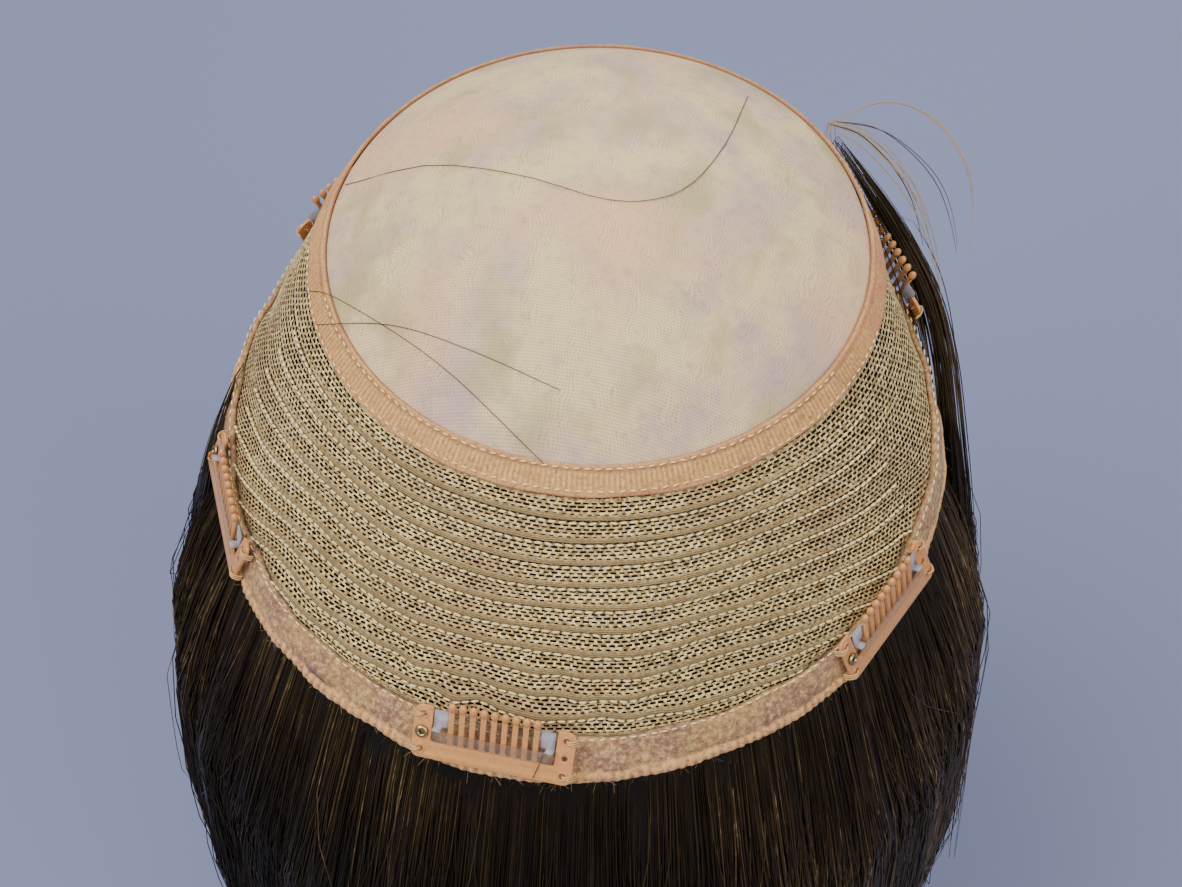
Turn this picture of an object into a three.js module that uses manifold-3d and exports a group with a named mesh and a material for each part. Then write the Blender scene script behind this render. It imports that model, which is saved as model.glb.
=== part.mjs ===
// A toupee hairpiece turned inside out: a silk-topped cap whose hair falls from under its hem.
// Millimetres, +Z up. The centre back of the cap is towards -Y and its front hairline towards +Y.
// The origin is where a head carries the cap, under the hair roots at the crown.
import * as THREE from "three";
import { ParametricGeometry } from "three/addons/geometries/ParametricGeometry.js";
import { mergeVertices } from "three/addons/utils/BufferGeometryUtils.js";
import Module from "manifold-3d";

const manifold = await Module();
manifold.setup();

// The silk top
const crownRadius = 56;
const crownRise = 21;
const crownLean = 3.5;
const crownFullness = 2.2;
const silkWall = 1.2;
const silkFlange = 4;

// The skirt, from the silk's edge to the hem
const flareOut = 44.3;
const flareDrop = 47;
const flareBelly = 0.045;
const netWall = 1.2;
const tuckCount = 10;
const tuckRise = 0.9;
const tuckFold = 1.1;
const tuckPitchFull = 2;
const tuckPitchFlat = 0.6;

// The two tapes
const tapeWall = 1.2;
const ringTapeWidth = 6.2;
const hemTapeWidth = 8.3;
const hemReturn = 5;

// What touching pieces keep between them
const seamGap = 0.3;

// The snap combs, each a stamped plate with its teeth pointing up to the crown
const combLength = 32;
const combHeight = 11;
const combWall = 0.7;
const combCorner = 1.6;
const barHeight = 3.6;
const lugWidth = 3.7;
const toothCount = 9;
const toothPitch = 2.1;
const toothWidth = 1.05;
const toothReach = 12.1;
const toothLean = 0.25;
const ballRadius = 0.85;
const ballStretch = 1.3;
const sewingHole = 0.6;
const sewingInset = 1.85;
const combAboveHem = 0.8;

// The grip strip woven through the teeth
const stripWall = 0.5;
const stripLower = 2.6;
const stripEnd = 1.6;

// The eyelet in each comb's left lug
const eyeletBore = 0.45;
const eyeletBarrel = 0.8;
const eyeletFlange = 1.33;
const eyeletCrown = 0.45;

// The hair
const hairRoots = 2.5;
const hairFall = 322;
const hairSwell = 26;
const lockDepth = 5.5;
const lockGroove = 2.4;
const tipDepth = 1.6;
const tipUnevenness = 0.1;
const partingDegrees = 0.2;

// How finely round forms are faceted
const aroundSteps = 44;
const eyeletSteps = 6;
const crownRings = 4;
const liningRows = 3;

// The skirt's form round the cap: shares of flareOut, flareDrop and flareBelly every 30 degrees,
// from the centre back to the front hairline, the same on both sides
const SKIRT = [
  { degrees: 0, out: 1.0, drop: 0.91, belly: 1.0 },
  { degrees: 30, out: 0.854, drop: 0.979, belly: 1.0 },
  { degrees: 60, out: 0.664, drop: 1.0, belly: 1.0 },
  { degrees: 90, out: 0.431, drop: 0.82, belly: 0.9 },
  { degrees: 120, out: 0.15, drop: 0.63, belly: 0.6 },
  { degrees: 150, out: 0.09, drop: 0.41, belly: 0.2 },
  { degrees: 180, out: 0.08, drop: 0.31, belly: 0.0 },
];

// How far the hair stands out past the hem: shares of its fall below the hem and of hairSwell
const SWELL = [
  { fall: 0, out: 0 },
  { fall: 0.08, out: 0.4 },
  { fall: 0.2, out: 0.86 },
  { fall: 0.4, out: 1.0 },
  { fall: 0.6, out: 0.86 },
  { fall: 0.8, out: 0.5 },
  { fall: 1, out: 0.1 },
];

// The rows of a lock below the hem: shares of the fall at its ridge and in the groove beside it,
// of its width and of its depth
const LOCK_ROWS = [
  { ridge: 0.1, groove: 0.1, width: 1.0, depth: 1.0 },
  { ridge: 0.35, groove: 0.3, width: 0.95, depth: 1.0 },
  { ridge: 0.7, groove: 0.5, width: 0.7, depth: 0.8 },
  { ridge: 1.0, groove: 0.66, width: 0.2, depth: 0.0 },
];

// Where the combs and the hair sit, in degrees from the centre back, +X positive
const COMBS = [
  { name: "back", degrees: -1.3 },
  { name: "side_right", degrees: 54 },
  { name: "side_left", degrees: -54 },
  { name: "temple_right", degrees: 115 },
  { name: "temple_left", degrees: -113 },
];
const HAIR = [
  { name: "back", from: -48, to: 48, locks: 9 },
  { name: "right", from: 48, to: 130, locks: 6 },
  { name: "front", from: 130, to: 230, locks: 5 },
  { name: "left", from: 230, to: 312, locks: 6 },
];

const MATERIALS = {
  silk: new THREE.MeshStandardMaterial({ name: "silk", color: 0xd3c6b6, roughness: 0.85 }),
  tape: new THREE.MeshStandardMaterial({ name: "tape", color: 0xb8937c, roughness: 0.9 }),
  net: new THREE.MeshStandardMaterial({ name: "net", color: 0xa08d6e, roughness: 0.9 }),
  comb: new THREE.MeshStandardMaterial({ name: "comb", color: 0xc79d76, roughness: 0.45 }),
  grip: new THREE.MeshStandardMaterial({
    name: "grip",
    color: 0xb5aebb,
    roughness: 0.3,
    transparent: true,
    opacity: 0.5,
  }),
  eyelet: new THREE.MeshStandardMaterial({
    name: "eyelet",
    color: 0x9a8450,
    roughness: 0.3,
    metalness: 1,
  }),
  hair: new THREE.MeshStandardMaterial({ name: "hair", color: 0x1d150e, roughness: 0.5 }),
};

const crownTop = silkWall + seamGap + hairRoots;
const radians = THREE.MathUtils.degToRad;
const goldenTurn = Math.PI * (3 - Math.sqrt(5));

// A smooth even curve through one column of the skirt's table.
function skirtShare(column, angle) {
  const last = SKIRT.length - 1;
  const spacing = radians(SKIRT[1].degrees - SKIRT[0].degrees);
  const place = Math.min(Math.acos(Math.cos(angle)) / spacing, last - 1e-9);
  const row = Math.floor(place);
  const [before, start, end, after] = [row - 1, row, row + 1, row + 2].map((at) => {
    const mirrored = at < 0 ? -at : at > last ? 2 * last - at : at;
    return SKIRT[mirrored][column];
  });
  const step = place - row;
  const curve =
    2 * start +
    (end - before) * step +
    (2 * before - 5 * start + 4 * end - after) * step ** 2 +
    (3 * start - before - 3 * end + after) * step ** 3;
  return curve / 2;
}

// The skirt's section at an angle: a bowed line from the silk's edge to the hem.
function skirtSection(angle) {
  const out = flareOut * skirtShare("out", angle);
  const drop = flareDrop * skirtShare("drop", angle);
  const edge = new THREE.Vector2(crownRadius, crownTop - crownRise - crownLean * Math.cos(angle));
  const hem = new THREE.Vector2(edge.x + out, edge.y - drop);
  const length = Math.hypot(out, drop);
  const bow = 2 * flareBelly * skirtShare("belly", angle);
  const middle = edge.clone().add(hem).multiplyScalar(0.5);
  middle.x += drop * bow;
  middle.y += out * bow;
  return { edge, middle, hem, length };
}

const skirtLength = (angle) => skirtSection(angle).length;

// Radius, height and outward direction on the skirt, at a distance along it from the silk's edge.
function onSkirt(angle, along) {
  const { edge, middle, hem, length } = skirtSection(angle);
  const t = along / length;
  const first = edge.clone().lerp(middle, t);
  const second = middle.clone().lerp(hem, t);
  const run = second.clone().sub(first);
  return { at: first.lerp(second, t), out: new THREE.Vector2(-run.y, run.x).normalize() };
}

// The same on the silk's dome, where along runs from minus the radius, at the apex, to zero.
function onCrown(angle, along) {
  const share = Math.max(1 + along / crownRadius, 0);
  const lean = crownLean * Math.cos(angle);
  const height = crownTop - crownRise * share ** crownFullness - lean * share ** 2;
  const slope = -crownFullness * crownRise * share ** (crownFullness - 1) - 2 * lean * share;
  const at = new THREE.Vector2(crownRadius * share, height);
  return { at, out: new THREE.Vector2(-slope, crownRadius).normalize() };
}

// A point of the cap: along it from the silk's edge, and lifted off its outer face.
function capPoint(angle, along, lift, target = new THREE.Vector3()) {
  const { at, out } = along < 0 ? onCrown(angle, along) : onSkirt(angle, along);
  const radius = at.x + out.x * lift;
  return target.set(radius * Math.sin(angle), -radius * Math.cos(angle), at.y + out.y * lift);
}

// Joins shared vertices and drops the faces that a pole or a thin edge squeezed to nothing.
function welded(geometry) {
  geometry.deleteAttribute("normal");
  geometry.deleteAttribute("uv");
  const merged = mergeVertices(geometry, 1e-3);
  const index = [];
  for (let i = 0; i < merged.index.count; i += 3) {
    const [a, b, c] = [0, 1, 2].map((corner) => merged.index.getX(i + corner));
    if (a !== b && b !== c && c !== a) index.push(a, b, c);
  }
  merged.setIndex(index);
  merged.computeVertexNormals();
  return merged;
}

function toSolid(geometry) {
  return new manifold.Manifold(
    new manifold.Mesh({
      numProp: 3,
      vertProperties: geometry.attributes.position.array,
      triVerts: new Uint32Array(geometry.index.array),
    }),
  );
}

// Joins closed geometries into one solid.
function joined(geometries) {
  const solid = geometries.map(welded).map(toSolid).reduce((whole, next) => whole.add(next));
  const { vertProperties, triVerts } = solid.getMesh();
  const geometry = new THREE.BufferGeometry()
    .setAttribute("position", new THREE.BufferAttribute(vertProperties, 3))
    .setIndex(new THREE.BufferAttribute(triVerts, 1));
  geometry.computeVertexNormals();
  return geometry;
}

// A band right round the cap. profile(angle) lists its section's corners as [along, lift],
// from the crown side down the outside and back up the inside.
function band(profile, closed = true) {
  const count = profile(0).length;
  const place = (u, v, target) => {
    const angle = (1 - u) * 2 * Math.PI;
    const corners = profile(angle);
    const [along, lift] = corners[Math.round(v * (closed ? count : count - 1)) % count];
    capPoint(angle, along, lift, target);
  };
  return welded(new ParametricGeometry(place, aroundSteps, closed ? count : count - 1));
}

// A dome with an even wall, from the apex to an edge below it.
function dome(outerLift, wall, edge) {
  const rings = Array.from({ length: crownRings }, (_, ring) => (ring / crownRings - 1) * crownRadius);
  const outer = [...rings, 0, ...edge];
  const section = [
    ...outer.map((along) => [along, outerLift]),
    ...outer.toReversed().map((along) => [along, outerLift - wall]),
  ];
  return band(() => section, false);
}

const evenly = (from, to, steps) =>
  Array.from({ length: steps + 1 }, (_, step) => from + ((to - from) * step) / steps);

const hemTapeTop = (angle) =>
  Math.max(skirtLength(angle) - hemTapeWidth, ringTapeWidth + 2 * seamGap);

function ringTapeProfile() {
  const top = seamGap + tapeWall;
  return [
    [0, seamGap],
    [0, top],
    [ringTapeWidth, top],
    [ringTapeWidth, seamGap],
  ];
}

// The net's outside is stitched into tucks between the two tapes, which die out where the
// tapes come close together.
function netProfile(angle) {
  const top = silkFlange + seamGap;
  const bottom = skirtLength(angle) - 2 * seamGap;
  const open = hemTapeTop(angle) - ringTapeWidth;
  const rowEnd = ringTapeWidth + Math.max(open, (bottom - ringTapeWidth) / 3);
  const pitch = (rowEnd - ringTapeWidth) / (tuckCount + 1);
  const fade = THREE.MathUtils.smoothstep(pitch, tuckPitchFlat, tuckPitchFull);
  const fold = Math.min(tuckFold, pitch / 2);
  const tucks = evenly(1, tuckCount, tuckCount - 1).flatMap((tuck) => {
    const crest = ringTapeWidth + tuck * pitch;
    return [
      [crest, tuckRise * fade],
      [crest + fold, 0],
    ];
  });
  const lining = evenly(bottom, top, liningRows).map((along) => [along, -netWall]);
  return [[top, 0], [ringTapeWidth, 0], ...tucks, [bottom, 0], ...lining];
}

// The hem tape lies on the net, wraps its edge and turns up inside.
function hemTapeProfile(angle) {
  const hem = skirtLength(angle);
  const outside = seamGap + tapeWall;
  const inside = -netWall - seamGap;
  const turnUp = hem - Math.min(hemReturn, (hem - silkFlange) / 2);
  return [
    [hemTapeTop(angle), seamGap],
    [hemTapeTop(angle), outside],
    [hem + tapeWall, outside],
    [hem + tapeWall, inside - tapeWall],
    [turnUp, inside - tapeWall],
    [turnUp, inside],
    [hem, inside],
    [hem, seamGap],
  ];
}

// Teeth and the strip between them lean away from the cap above the comb's bar.
function leanOut(geometry, from) {
  const position = geometry.attributes.position;
  for (let i = 0; i < position.count; i++) {
    const rise = Math.max(position.getY(i) - from, 0);
    const betweenLugs = Math.abs(position.getX(i)) < combLength / 2 - lugWidth - seamGap / 2;
    if (betweenLugs) position.setZ(i, position.getZ(i) + rise * toothLean);
  }
  return geometry;
}

const toothCentres = evenly(0, toothCount - 1, toothCount - 1).map(
  (tooth) => (tooth - (toothCount - 1) / 2) * toothPitch,
);

// The comb's outline: a bar below, a lug at each end, and the teeth between them.
function combOutline() {
  const end = combLength / 2;
  const inner = end - lugWidth;
  const outline = new THREE.Shape();
  outline.moveTo(-end + combCorner, 0);
  outline.lineTo(end - combCorner, 0);
  outline.quadraticCurveTo(end, 0, end, combCorner);
  outline.lineTo(end, combHeight - combCorner);
  outline.quadraticCurveTo(end, combHeight, end - combCorner, combHeight);
  outline.lineTo(inner, combHeight);
  outline.lineTo(inner, barHeight);
  for (const centre of toothCentres.toReversed()) {
    outline.lineTo(centre + toothWidth / 2, barHeight);
    outline.lineTo(centre + toothWidth / 2, toothReach);
    outline.lineTo(centre - toothWidth / 2, toothReach);
    outline.lineTo(centre - toothWidth / 2, barHeight);
  }
  outline.lineTo(-inner, barHeight);
  outline.lineTo(-inner, combHeight);
  outline.lineTo(-end + combCorner, combHeight);
  outline.quadraticCurveTo(-end, combHeight, -end, combHeight - combCorner);
  outline.lineTo(-end, combCorner);
  outline.quadraticCurveTo(-end, 0, -end + combCorner, 0);
  return outline;
}

const lugCentre = combLength / 2 - lugWidth / 2;
const lugHoleHeights = [sewingInset, combHeight / 2, combHeight - sewingInset];

// Three sewing holes in each lug, the middle one on the left wide enough for its eyelet.
function combHoles() {
  const holes = [-lugCentre, lugCentre].flatMap((x) => lugHoleHeights.map((y) => ({ x, y })));
  return holes.map(({ x, y }) => {
    const forEyelet = x < 0 && y === lugHoleHeights[1];
    const radius = forEyelet ? eyeletBarrel + seamGap : sewingHole;
    return new THREE.Path().absarc(x, y, radius, 0, 2 * Math.PI, true);
  });
}

function combGeometry() {
  const outline = combOutline();
  outline.holes = combHoles();
  const plate = new THREE.ExtrudeGeometry(outline, {
    depth: combWall,
    bevelEnabled: false,
    curveSegments: 3,
  });
  const balls = toothCentres.map((centre) =>
    new THREE.SphereGeometry(ballRadius, 5, 3)
      .rotateX(Math.PI / 2)
      .scale(1, ballStretch, 1)
      .rotateY(Math.PI / 2)
      .translate(centre, toothReach, combWall / 2),
  );
  return joined([plate, ...balls].map((piece) => leanOut(piece, barHeight)));
}

// The strip lies behind the upper half of the teeth, crosses to the front of their lower
// half, and its two halves meet at both ends.
function gripGeometry() {
  const end = combLength / 2 - lugWidth - seamGap;
  const lowerFrom = barHeight + seamGap;
  const lowerTo = lowerFrom + stripLower;
  const upperTo = toothReach - ballRadius * ballStretch - seamGap;
  const front = combWall + seamGap;
  const back = -seamGap - stripWall;
  const slab = (from, to, bottom, top, near, far) =>
    new THREE.BoxGeometry(to - from, top - bottom, far - near).translate(
      (from + to) / 2,
      (bottom + top) / 2,
      (near + far) / 2,
    );
  const overlap = stripWall;
  const pieces = [
    slab(-end, end, lowerTo, upperTo, back, -seamGap),
    slab(-end, end, lowerFrom, lowerTo, front, front + stripWall),
    slab(-end, stripEnd - end, lowerTo - overlap, lowerTo + overlap, back, front + stripWall),
    slab(end - stripEnd, end, lowerTo - overlap, lowerTo + overlap, back, front + stripWall),
  ];
  return joined(pieces.map((piece) => leanOut(piece, barHeight)));
}

// A pressed eyelet: a barrel through the lug and a rounded flange on it.
function eyeletGeometry() {
  const seat = combWall + seamGap;
  const rim = (eyeletBore + eyeletFlange) / 2;
  const profile = [
    [eyeletBore, 0],
    [eyeletBarrel, 0],
    [eyeletBarrel, seat],
    [eyeletFlange, seat],
    [rim, seat + eyeletCrown],
    [eyeletBore, seat],
    [eyeletBore, 0],
  ];
  const turned = new THREE.LatheGeometry(
    profile.map(([radius, height]) => new THREE.Vector2(radius, height)),
    eyeletSteps,
  );
  return welded(turned.rotateX(Math.PI / 2));
}

// A comb and what it carries, laid on the hem tape at an angle round the cap.
function combGroup({ name, degrees }) {
  const angle = radians(degrees);
  const lift = seamGap + tapeWall + seamGap;
  const seat = (at, above) => capPoint(at, skirtLength(at) - above, lift);
  const above = combHeight / 2 + combAboveHem;
  const nudge = radians(1);
  const along = seat(angle + nudge, above).sub(seat(angle - nudge, above)).normalize();
  const up = seat(angle, above + 1).sub(seat(angle, above));
  const outward = along.clone().cross(up).normalize();
  const upright = outward.clone().cross(along);
  const group = new THREE.Group();
  group.quaternion.setFromRotationMatrix(new THREE.Matrix4().makeBasis(along, upright, outward));
  group.position.copy(seat(angle, above)).addScaledVector(upright, -combHeight / 2);
  const eyelet = named(`comb_eyelet_${name}`, eyeletGeometry(), MATERIALS.eyelet);
  eyelet.position.set(-lugCentre, lugHoleHeights[1], 0);
  group.add(
    named(`comb_${name}`, combGeometry(), MATERIALS.comb),
    named(`comb_grip_${name}`, gripGeometry(), MATERIALS.grip),
    eyelet,
  );
  return group;
}

function swellAt(fall) {
  const next = Math.max(SWELL.findIndex((row) => row.fall >= fall), 1);
  const [from, to] = [SWELL[next - 1], SWELL[next]];
  return THREE.MathUtils.mapLinear(fall, from.fall, to.fall, from.out, to.out) * hairSwell;
}

// One sector of hair: a lining inside the skirt that falls below the hem in tapering locks.
// Its two side edges thin to nothing, so it is one closed body.
function hairGeometry({ from, to, locks }) {
  const lift = -(netWall + tapeWall + 2 * seamGap + seamGap);
  const columns = 3 * locks;
  const liningStations = 3;
  const stations = liningStations + LOCK_ROWS.length;
  const clear = radians(partingDegrees);

  const station = (column, row, inner) => {
    const lock = Math.floor(column / 3);
    const side = column % 3;
    const inGroove = side === 0;
    const atEdge = column === 0 || column === columns;
    const lockRow = LOCK_ROWS[Math.max(row - liningStations, 0)];
    const below = row >= liningStations;
    const centre = lock + 0.5;
    const ridgePlace = centre + ((side - 1.5) / 3) * (below ? lockRow.width : 1);
    const place = (inGroove ? column / 3 : ridgePlace) / locks;
    const angle = THREE.MathUtils.lerp(radians(from) + clear, radians(to) - clear, place);
    const depthShare = below ? lockRow.depth : 1;
    const ridgeDepth = THREE.MathUtils.lerp(tipDepth, lockDepth, depthShare);
    const depth = atEdge ? 0 : inGroove ? ridgeDepth - lockGroove * depthShare : ridgeDepth;
    const hem = skirtLength(angle);
    if (!below) {
      const along = [silkFlange, hem / 2, hem + tapeWall + seamGap][row];
      return capPoint(angle, along, lift - (inner ? Math.min(depth, lockDepth / 2) : 0));
    }
    const exit = capPoint(angle, hem + tapeWall + seamGap, lift);
    const uneven = 1 - tipUnevenness * Math.abs(Math.sin(goldenTurn * (lock + locks)));
    const fallen = (inGroove ? lockRow.groove : lockRow.ridge) * uneven;
    const dip = inGroove ? lockGroove * depthShare : 0;
    const reach = Math.hypot(exit.x, exit.y) + swellAt(fallen) - dip - (inner ? depth : 0);
    const height = THREE.MathUtils.lerp(exit.z, crownTop - hairFall, fallen);
    return new THREE.Vector3(reach * Math.sin(angle), -reach * Math.cos(angle), height);
  };

  const place = (u, v, target) => {
    const column = Math.round((1 - u) * columns);
    const corner = Math.round(v * 2 * stations) % (2 * stations);
    const inner = corner >= stations;
    target.copy(station(column, inner ? 2 * stations - 1 - corner : corner, inner));
  };
  return welded(new ParametricGeometry(place, columns, 2 * stations));
}

function named(name, geometry, material) {
  const mesh = new THREE.Mesh(geometry, material);
  mesh.name = name;
  return mesh;
}

const hairpiece = new THREE.Group();
hairpiece.add(
  named("silk_top", dome(0, silkWall, [silkFlange]), MATERIALS.silk),
  named("ring_tape", band(ringTapeProfile), MATERIALS.tape),
  named("net_skirt", band(netProfile), MATERIALS.net),
  named("hem_tape", band(hemTapeProfile), MATERIALS.tape),
  named("hair_crown", dome(-silkWall - seamGap, hairRoots, []), MATERIALS.hair),
  ...HAIR.map((sector) => named(`hair_${sector.name}`, hairGeometry(sector), MATERIALS.hair)),
  ...COMBS.map(combGroup),
);

export default hairpiece;
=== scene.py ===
"""Dresses a toupee hairpiece that is turned inside out: silk crown, tucked net skirt between two
tapes, snap combs along the hem, and long straight hair that falls from under it.

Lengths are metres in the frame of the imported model: +Z up, -Y the centre back, +Y the front hairline.
A place on the cap is an angle from the centre back, positive towards +X, a distance along the cloth
from the silk's edge, negative on the silk, and a lift off the cap's outer face.
"""

import math
from contextlib import contextmanager

import bmesh
import bpy
import numpy as np
from bpy.props import FloatProperty, FloatVectorProperty, IntProperty, PointerProperty
from mathutils import Matrix, Vector


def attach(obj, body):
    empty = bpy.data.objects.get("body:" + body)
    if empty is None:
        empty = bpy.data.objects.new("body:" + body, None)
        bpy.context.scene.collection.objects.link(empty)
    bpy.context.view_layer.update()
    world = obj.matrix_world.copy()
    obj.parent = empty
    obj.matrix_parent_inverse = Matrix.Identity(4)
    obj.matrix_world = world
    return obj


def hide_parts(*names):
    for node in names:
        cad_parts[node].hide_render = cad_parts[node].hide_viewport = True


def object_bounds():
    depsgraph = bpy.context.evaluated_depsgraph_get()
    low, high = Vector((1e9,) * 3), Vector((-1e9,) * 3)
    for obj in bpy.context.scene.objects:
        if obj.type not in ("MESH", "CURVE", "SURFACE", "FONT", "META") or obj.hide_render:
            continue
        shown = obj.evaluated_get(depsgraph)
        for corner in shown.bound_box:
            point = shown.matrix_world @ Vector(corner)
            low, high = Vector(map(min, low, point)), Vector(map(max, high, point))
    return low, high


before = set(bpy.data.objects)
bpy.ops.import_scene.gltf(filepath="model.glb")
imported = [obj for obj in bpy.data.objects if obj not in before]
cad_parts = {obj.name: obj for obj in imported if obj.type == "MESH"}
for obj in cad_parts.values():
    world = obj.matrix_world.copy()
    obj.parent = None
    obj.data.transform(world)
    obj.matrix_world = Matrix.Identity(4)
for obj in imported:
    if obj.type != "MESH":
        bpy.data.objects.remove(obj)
frame_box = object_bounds()

bl_info = {
    "name": "Hairpiece dressing",
    "version": (1, 0, 0),
    "blender": (4, 5, 0),
    "location": "3D View > Sidebar > Hairpiece",
    "description": "Cloth, combs, stitches and hair for a silk-top hairpiece",
    "category": "Object",
}

MM = 0.001
TURN = 2 * math.pi

# The cap's form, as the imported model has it
CROWN_RADIUS = 56 * MM
CROWN_RISE = 21 * MM
CROWN_LEAN = 3.5 * MM
CROWN_FULLNESS = 2.2
CROWN_TOP = 4 * MM
SILK_WALL = 1.2 * MM
SILK_FLANGE = 4 * MM
FLARE_OUT = 44.3 * MM
FLARE_DROP = 47 * MM
FLARE_BELLY = 0.045
TAPE_WALL = 1.2 * MM
SEAM_GAP = 0.3 * MM
RING_TAPE_WIDTH = 6.2 * MM
HEM_TAPE_WIDTH = 8.3 * MM
HEM_RETURN = 5 * MM
HEM_RADIUS = 84 * MM
HEM_COLUMNS = 1980
TUCK_COUNT = 10
TUCKS_FADE = (math.radians(70), math.radians(30))
NET_OPENING = 0.75
NET_OPENS = (math.radians(34), math.radians(88))

# Shares of the flare, the drop and the belly, every 30 degrees from the centre back
SKIRT_STEP = math.radians(30)
SKIRT = np.array(
    [
        [1.0, 0.91, 1.0],
        [0.854, 0.979, 1.0],
        [0.664, 1.0, 1.0],
        [0.431, 0.82, 0.9],
        [0.15, 0.63, 0.6],
        [0.09, 0.41, 0.2],
        [0.08, 0.31, 0.0],
    ]
)

# The snap combs
COMB_ANGLES = {
    "back": -1.3,
    "side_right": 54,
    "side_left": -54,
    "temple_right": 115,
    "temple_left": -113,
}
COMB_LENGTH = 32 * MM
COMB_HEIGHT = 11 * MM
COMB_WALL = 0.7 * MM
COMB_CORNER = 1.6 * MM
COMB_BAR = 3.6 * MM
COMB_LUG = 3.7 * MM
COMB_ABOVE_HEM = 0.8 * MM
TOOTH_COUNT = 9
TOOTH_PITCH = 2.1 * MM
TOOTH_WIDTH = 1.05 * MM
TOOTH_REACH = 12.1 * MM
TOOTH_LEAN = 0.25
BALL_RADIUS = 0.85 * MM
BALL_STRETCH = 1.3
SEWING_HOLE = 0.6 * MM
SEWING_INSET = 1.85 * MM
EYELET_HOLE = 1.1 * MM
FILM_EDGE = 0.13 * MM
THREAD_RADIUS = 0.15 * MM
LUG_CENTRE = COMB_LENGTH / 2 - COMB_LUG / 2
HOLE_HEIGHTS = (SEWING_INSET, COMB_HEIGHT / 2, COMB_HEIGHT - SEWING_INSET)
TOOTH_PLACES = [(tooth - (TOOTH_COUNT - 1) / 2) * TOOTH_PITCH for tooth in range(TOOTH_COUNT)]
# The eyelet's section in millimetres: its radius, and its height from the foot of its barrel or,
# where the last number is 1, from the lug's face
EYELET_SECTION = [
    (0.45, -0.05, 0),
    (0.45, -0.1, 1),
    (0.5, 0.2, 1),
    (0.68, 0.4, 1),
    (0.92, 0.42, 1),
    (1.18, 0.26, 1),
    (1.33, 0.02, 1),
    (1.22, -0.04, 1),
    (0.8, -0.04, 1),
    (0.8, -0.05, 0),
]

# The hair: sectors in degrees with their locks, and the form of its fall below the hem
HAIR_SECTORS = {
    "back": (-48, 48, 9),
    "right": (48, 130, 6),
    "front": (130, 230, 5),
    "left": (230, 312, 6),
}
HAIR_FALL = 322 * MM
HAIR_SWELL = 26 * MM
HAIR_LIFT = -3.3 * MM
LOCK_DEPTH = 5.5 * MM
LOCK_GROOVE = 2.4 * MM
TIP_DEPTH = 1.6 * MM
TIP_UNEVENNESS = 0.1
GOLDEN_TURN = math.pi * (3 - math.sqrt(5))
SWELL_FALL = [0, 0.08, 0.2, 0.4, 0.6, 0.8, 1]
SWELL_OUT = [0, 0.4, 0.86, 1, 0.86, 0.5, 0.1]
LOCK_FALL = [0.1, 0.35, 0.7, 1]
LOCK_WIDTH = [1, 0.95, 0.7, 0.2]
LOCK_FULLNESS = [1, 1, 0.8, 0]
GROOVE_END = 0.66
STRAND_WIDTH = [1, 1, 1, 0.97]
STRAND_END = 0.93
# The strands in three parts: share of their number, how far they stand off, and how loose they are
STRAND_PARTS = ((0.84, 0.9 * MM, 1.0), (0.12, 2.0 * MM, 2.2), (0.04, 2.6 * MM, 5.0))
STRAND_STEPS = 13
STRAY_RADIUS = 0.085 * MM
FUZZ_COUNT = 3600
FUZZ_STEPS = 4
FUZZ_RADIUS = 0.075 * MM

# Colours of the finishes beside those in the settings
SILK_PINK = (0.57, 0.38, 0.33)
SILK_OLIVE = (0.50, 0.40, 0.18)
SILK_PEACH = (0.84, 0.50, 0.27)
SILK_GAPS = (0.34, 0.24, 0.13)
SILK_GRAIN = (0.36, 0.25, 0.17)
TAPE_ROSE = (0.62, 0.27, 0.11)
# Painted shade between the ring tape's ribs
TAPE_GROOVE_SHADE = (0.44, 0.21, 0.06)
# Painted highlight on the ring tape's rib crests
TAPE_RIB_HIGHLIGHT = (0.86, 0.53, 0.20)
TAPE_NAP = (0.26, 0.12, 0.045)
# Painted shadow along the ring tape's seam, and painted shade on its walls
TAPE_SEAM_SHADOW = (0.20, 0.085, 0.04)
HEM_MAUVE = (0.31, 0.16, 0.10)
HEM_LINT = (0.78, 0.50, 0.24)
HEM_NAP = (0.18, 0.085, 0.04)
NET_PALE = (0.90, 0.69, 0.32)
NET_DULL = (0.33, 0.185, 0.09)
# The net's folds, laid in painted shade: the dark and the pale of their fine thread lines
FOLD_SHADED_THREAD = (0.13, 0.08, 0.035)
FOLD_PALE = (0.40, 0.265, 0.10)
LACQUER_DEEP = (0.58, 0.23, 0.07)
FILM_CLEAR = (0.34, 0.24, 0.19)
BRASS_PALE = (0.62, 0.52, 0.28)
BRASS_DARK = (0.30, 0.22, 0.09)
HAIR_GLOSS = (1.0, 0.84, 0.62, 1.0)
# The hair's colours from the darkest tone to the palest: place, colour and strength
HAIR_RAMP = [
    (0.15, "root", 1.0),
    (0.50, "root", 2.6),
    (0.80, "brown", 1.0),
    (0.93, "brown", 2.2),
    (1.0, "gold", 1.0),
]

# The lights: place, size and share of the main light's power; and the floor
LIGHTS = {
    "window": ((-0.55, -0.35, 0.95), 0.9, 1.0),
    "room": ((0.75, -0.55, 0.7), 0.9, 0.45),
    "back": ((0.2, 0.9, 0.75), 0.8, 0.5),
}
FLOOR_HALF = 20.0
FLOOR_GAP = 6 * MM

# The camera, fitted to the silk's edge, the tapes and the hem
CAMERA_TARGET = Vector((16.4, -103.3, 49.0)) * MM
CAMERA_DISTANCE = 275.7 * MM
CAMERA_AZIMUTH = math.radians(9.33)
CAMERA_ELEVATION = math.radians(52.24)
CAMERA_ROLL = math.radians(1.3)
CAMERA_LENS = 57.57
CAMERA_SENSOR = 36
PHOTO_SIZE = (1182, 887)

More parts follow.
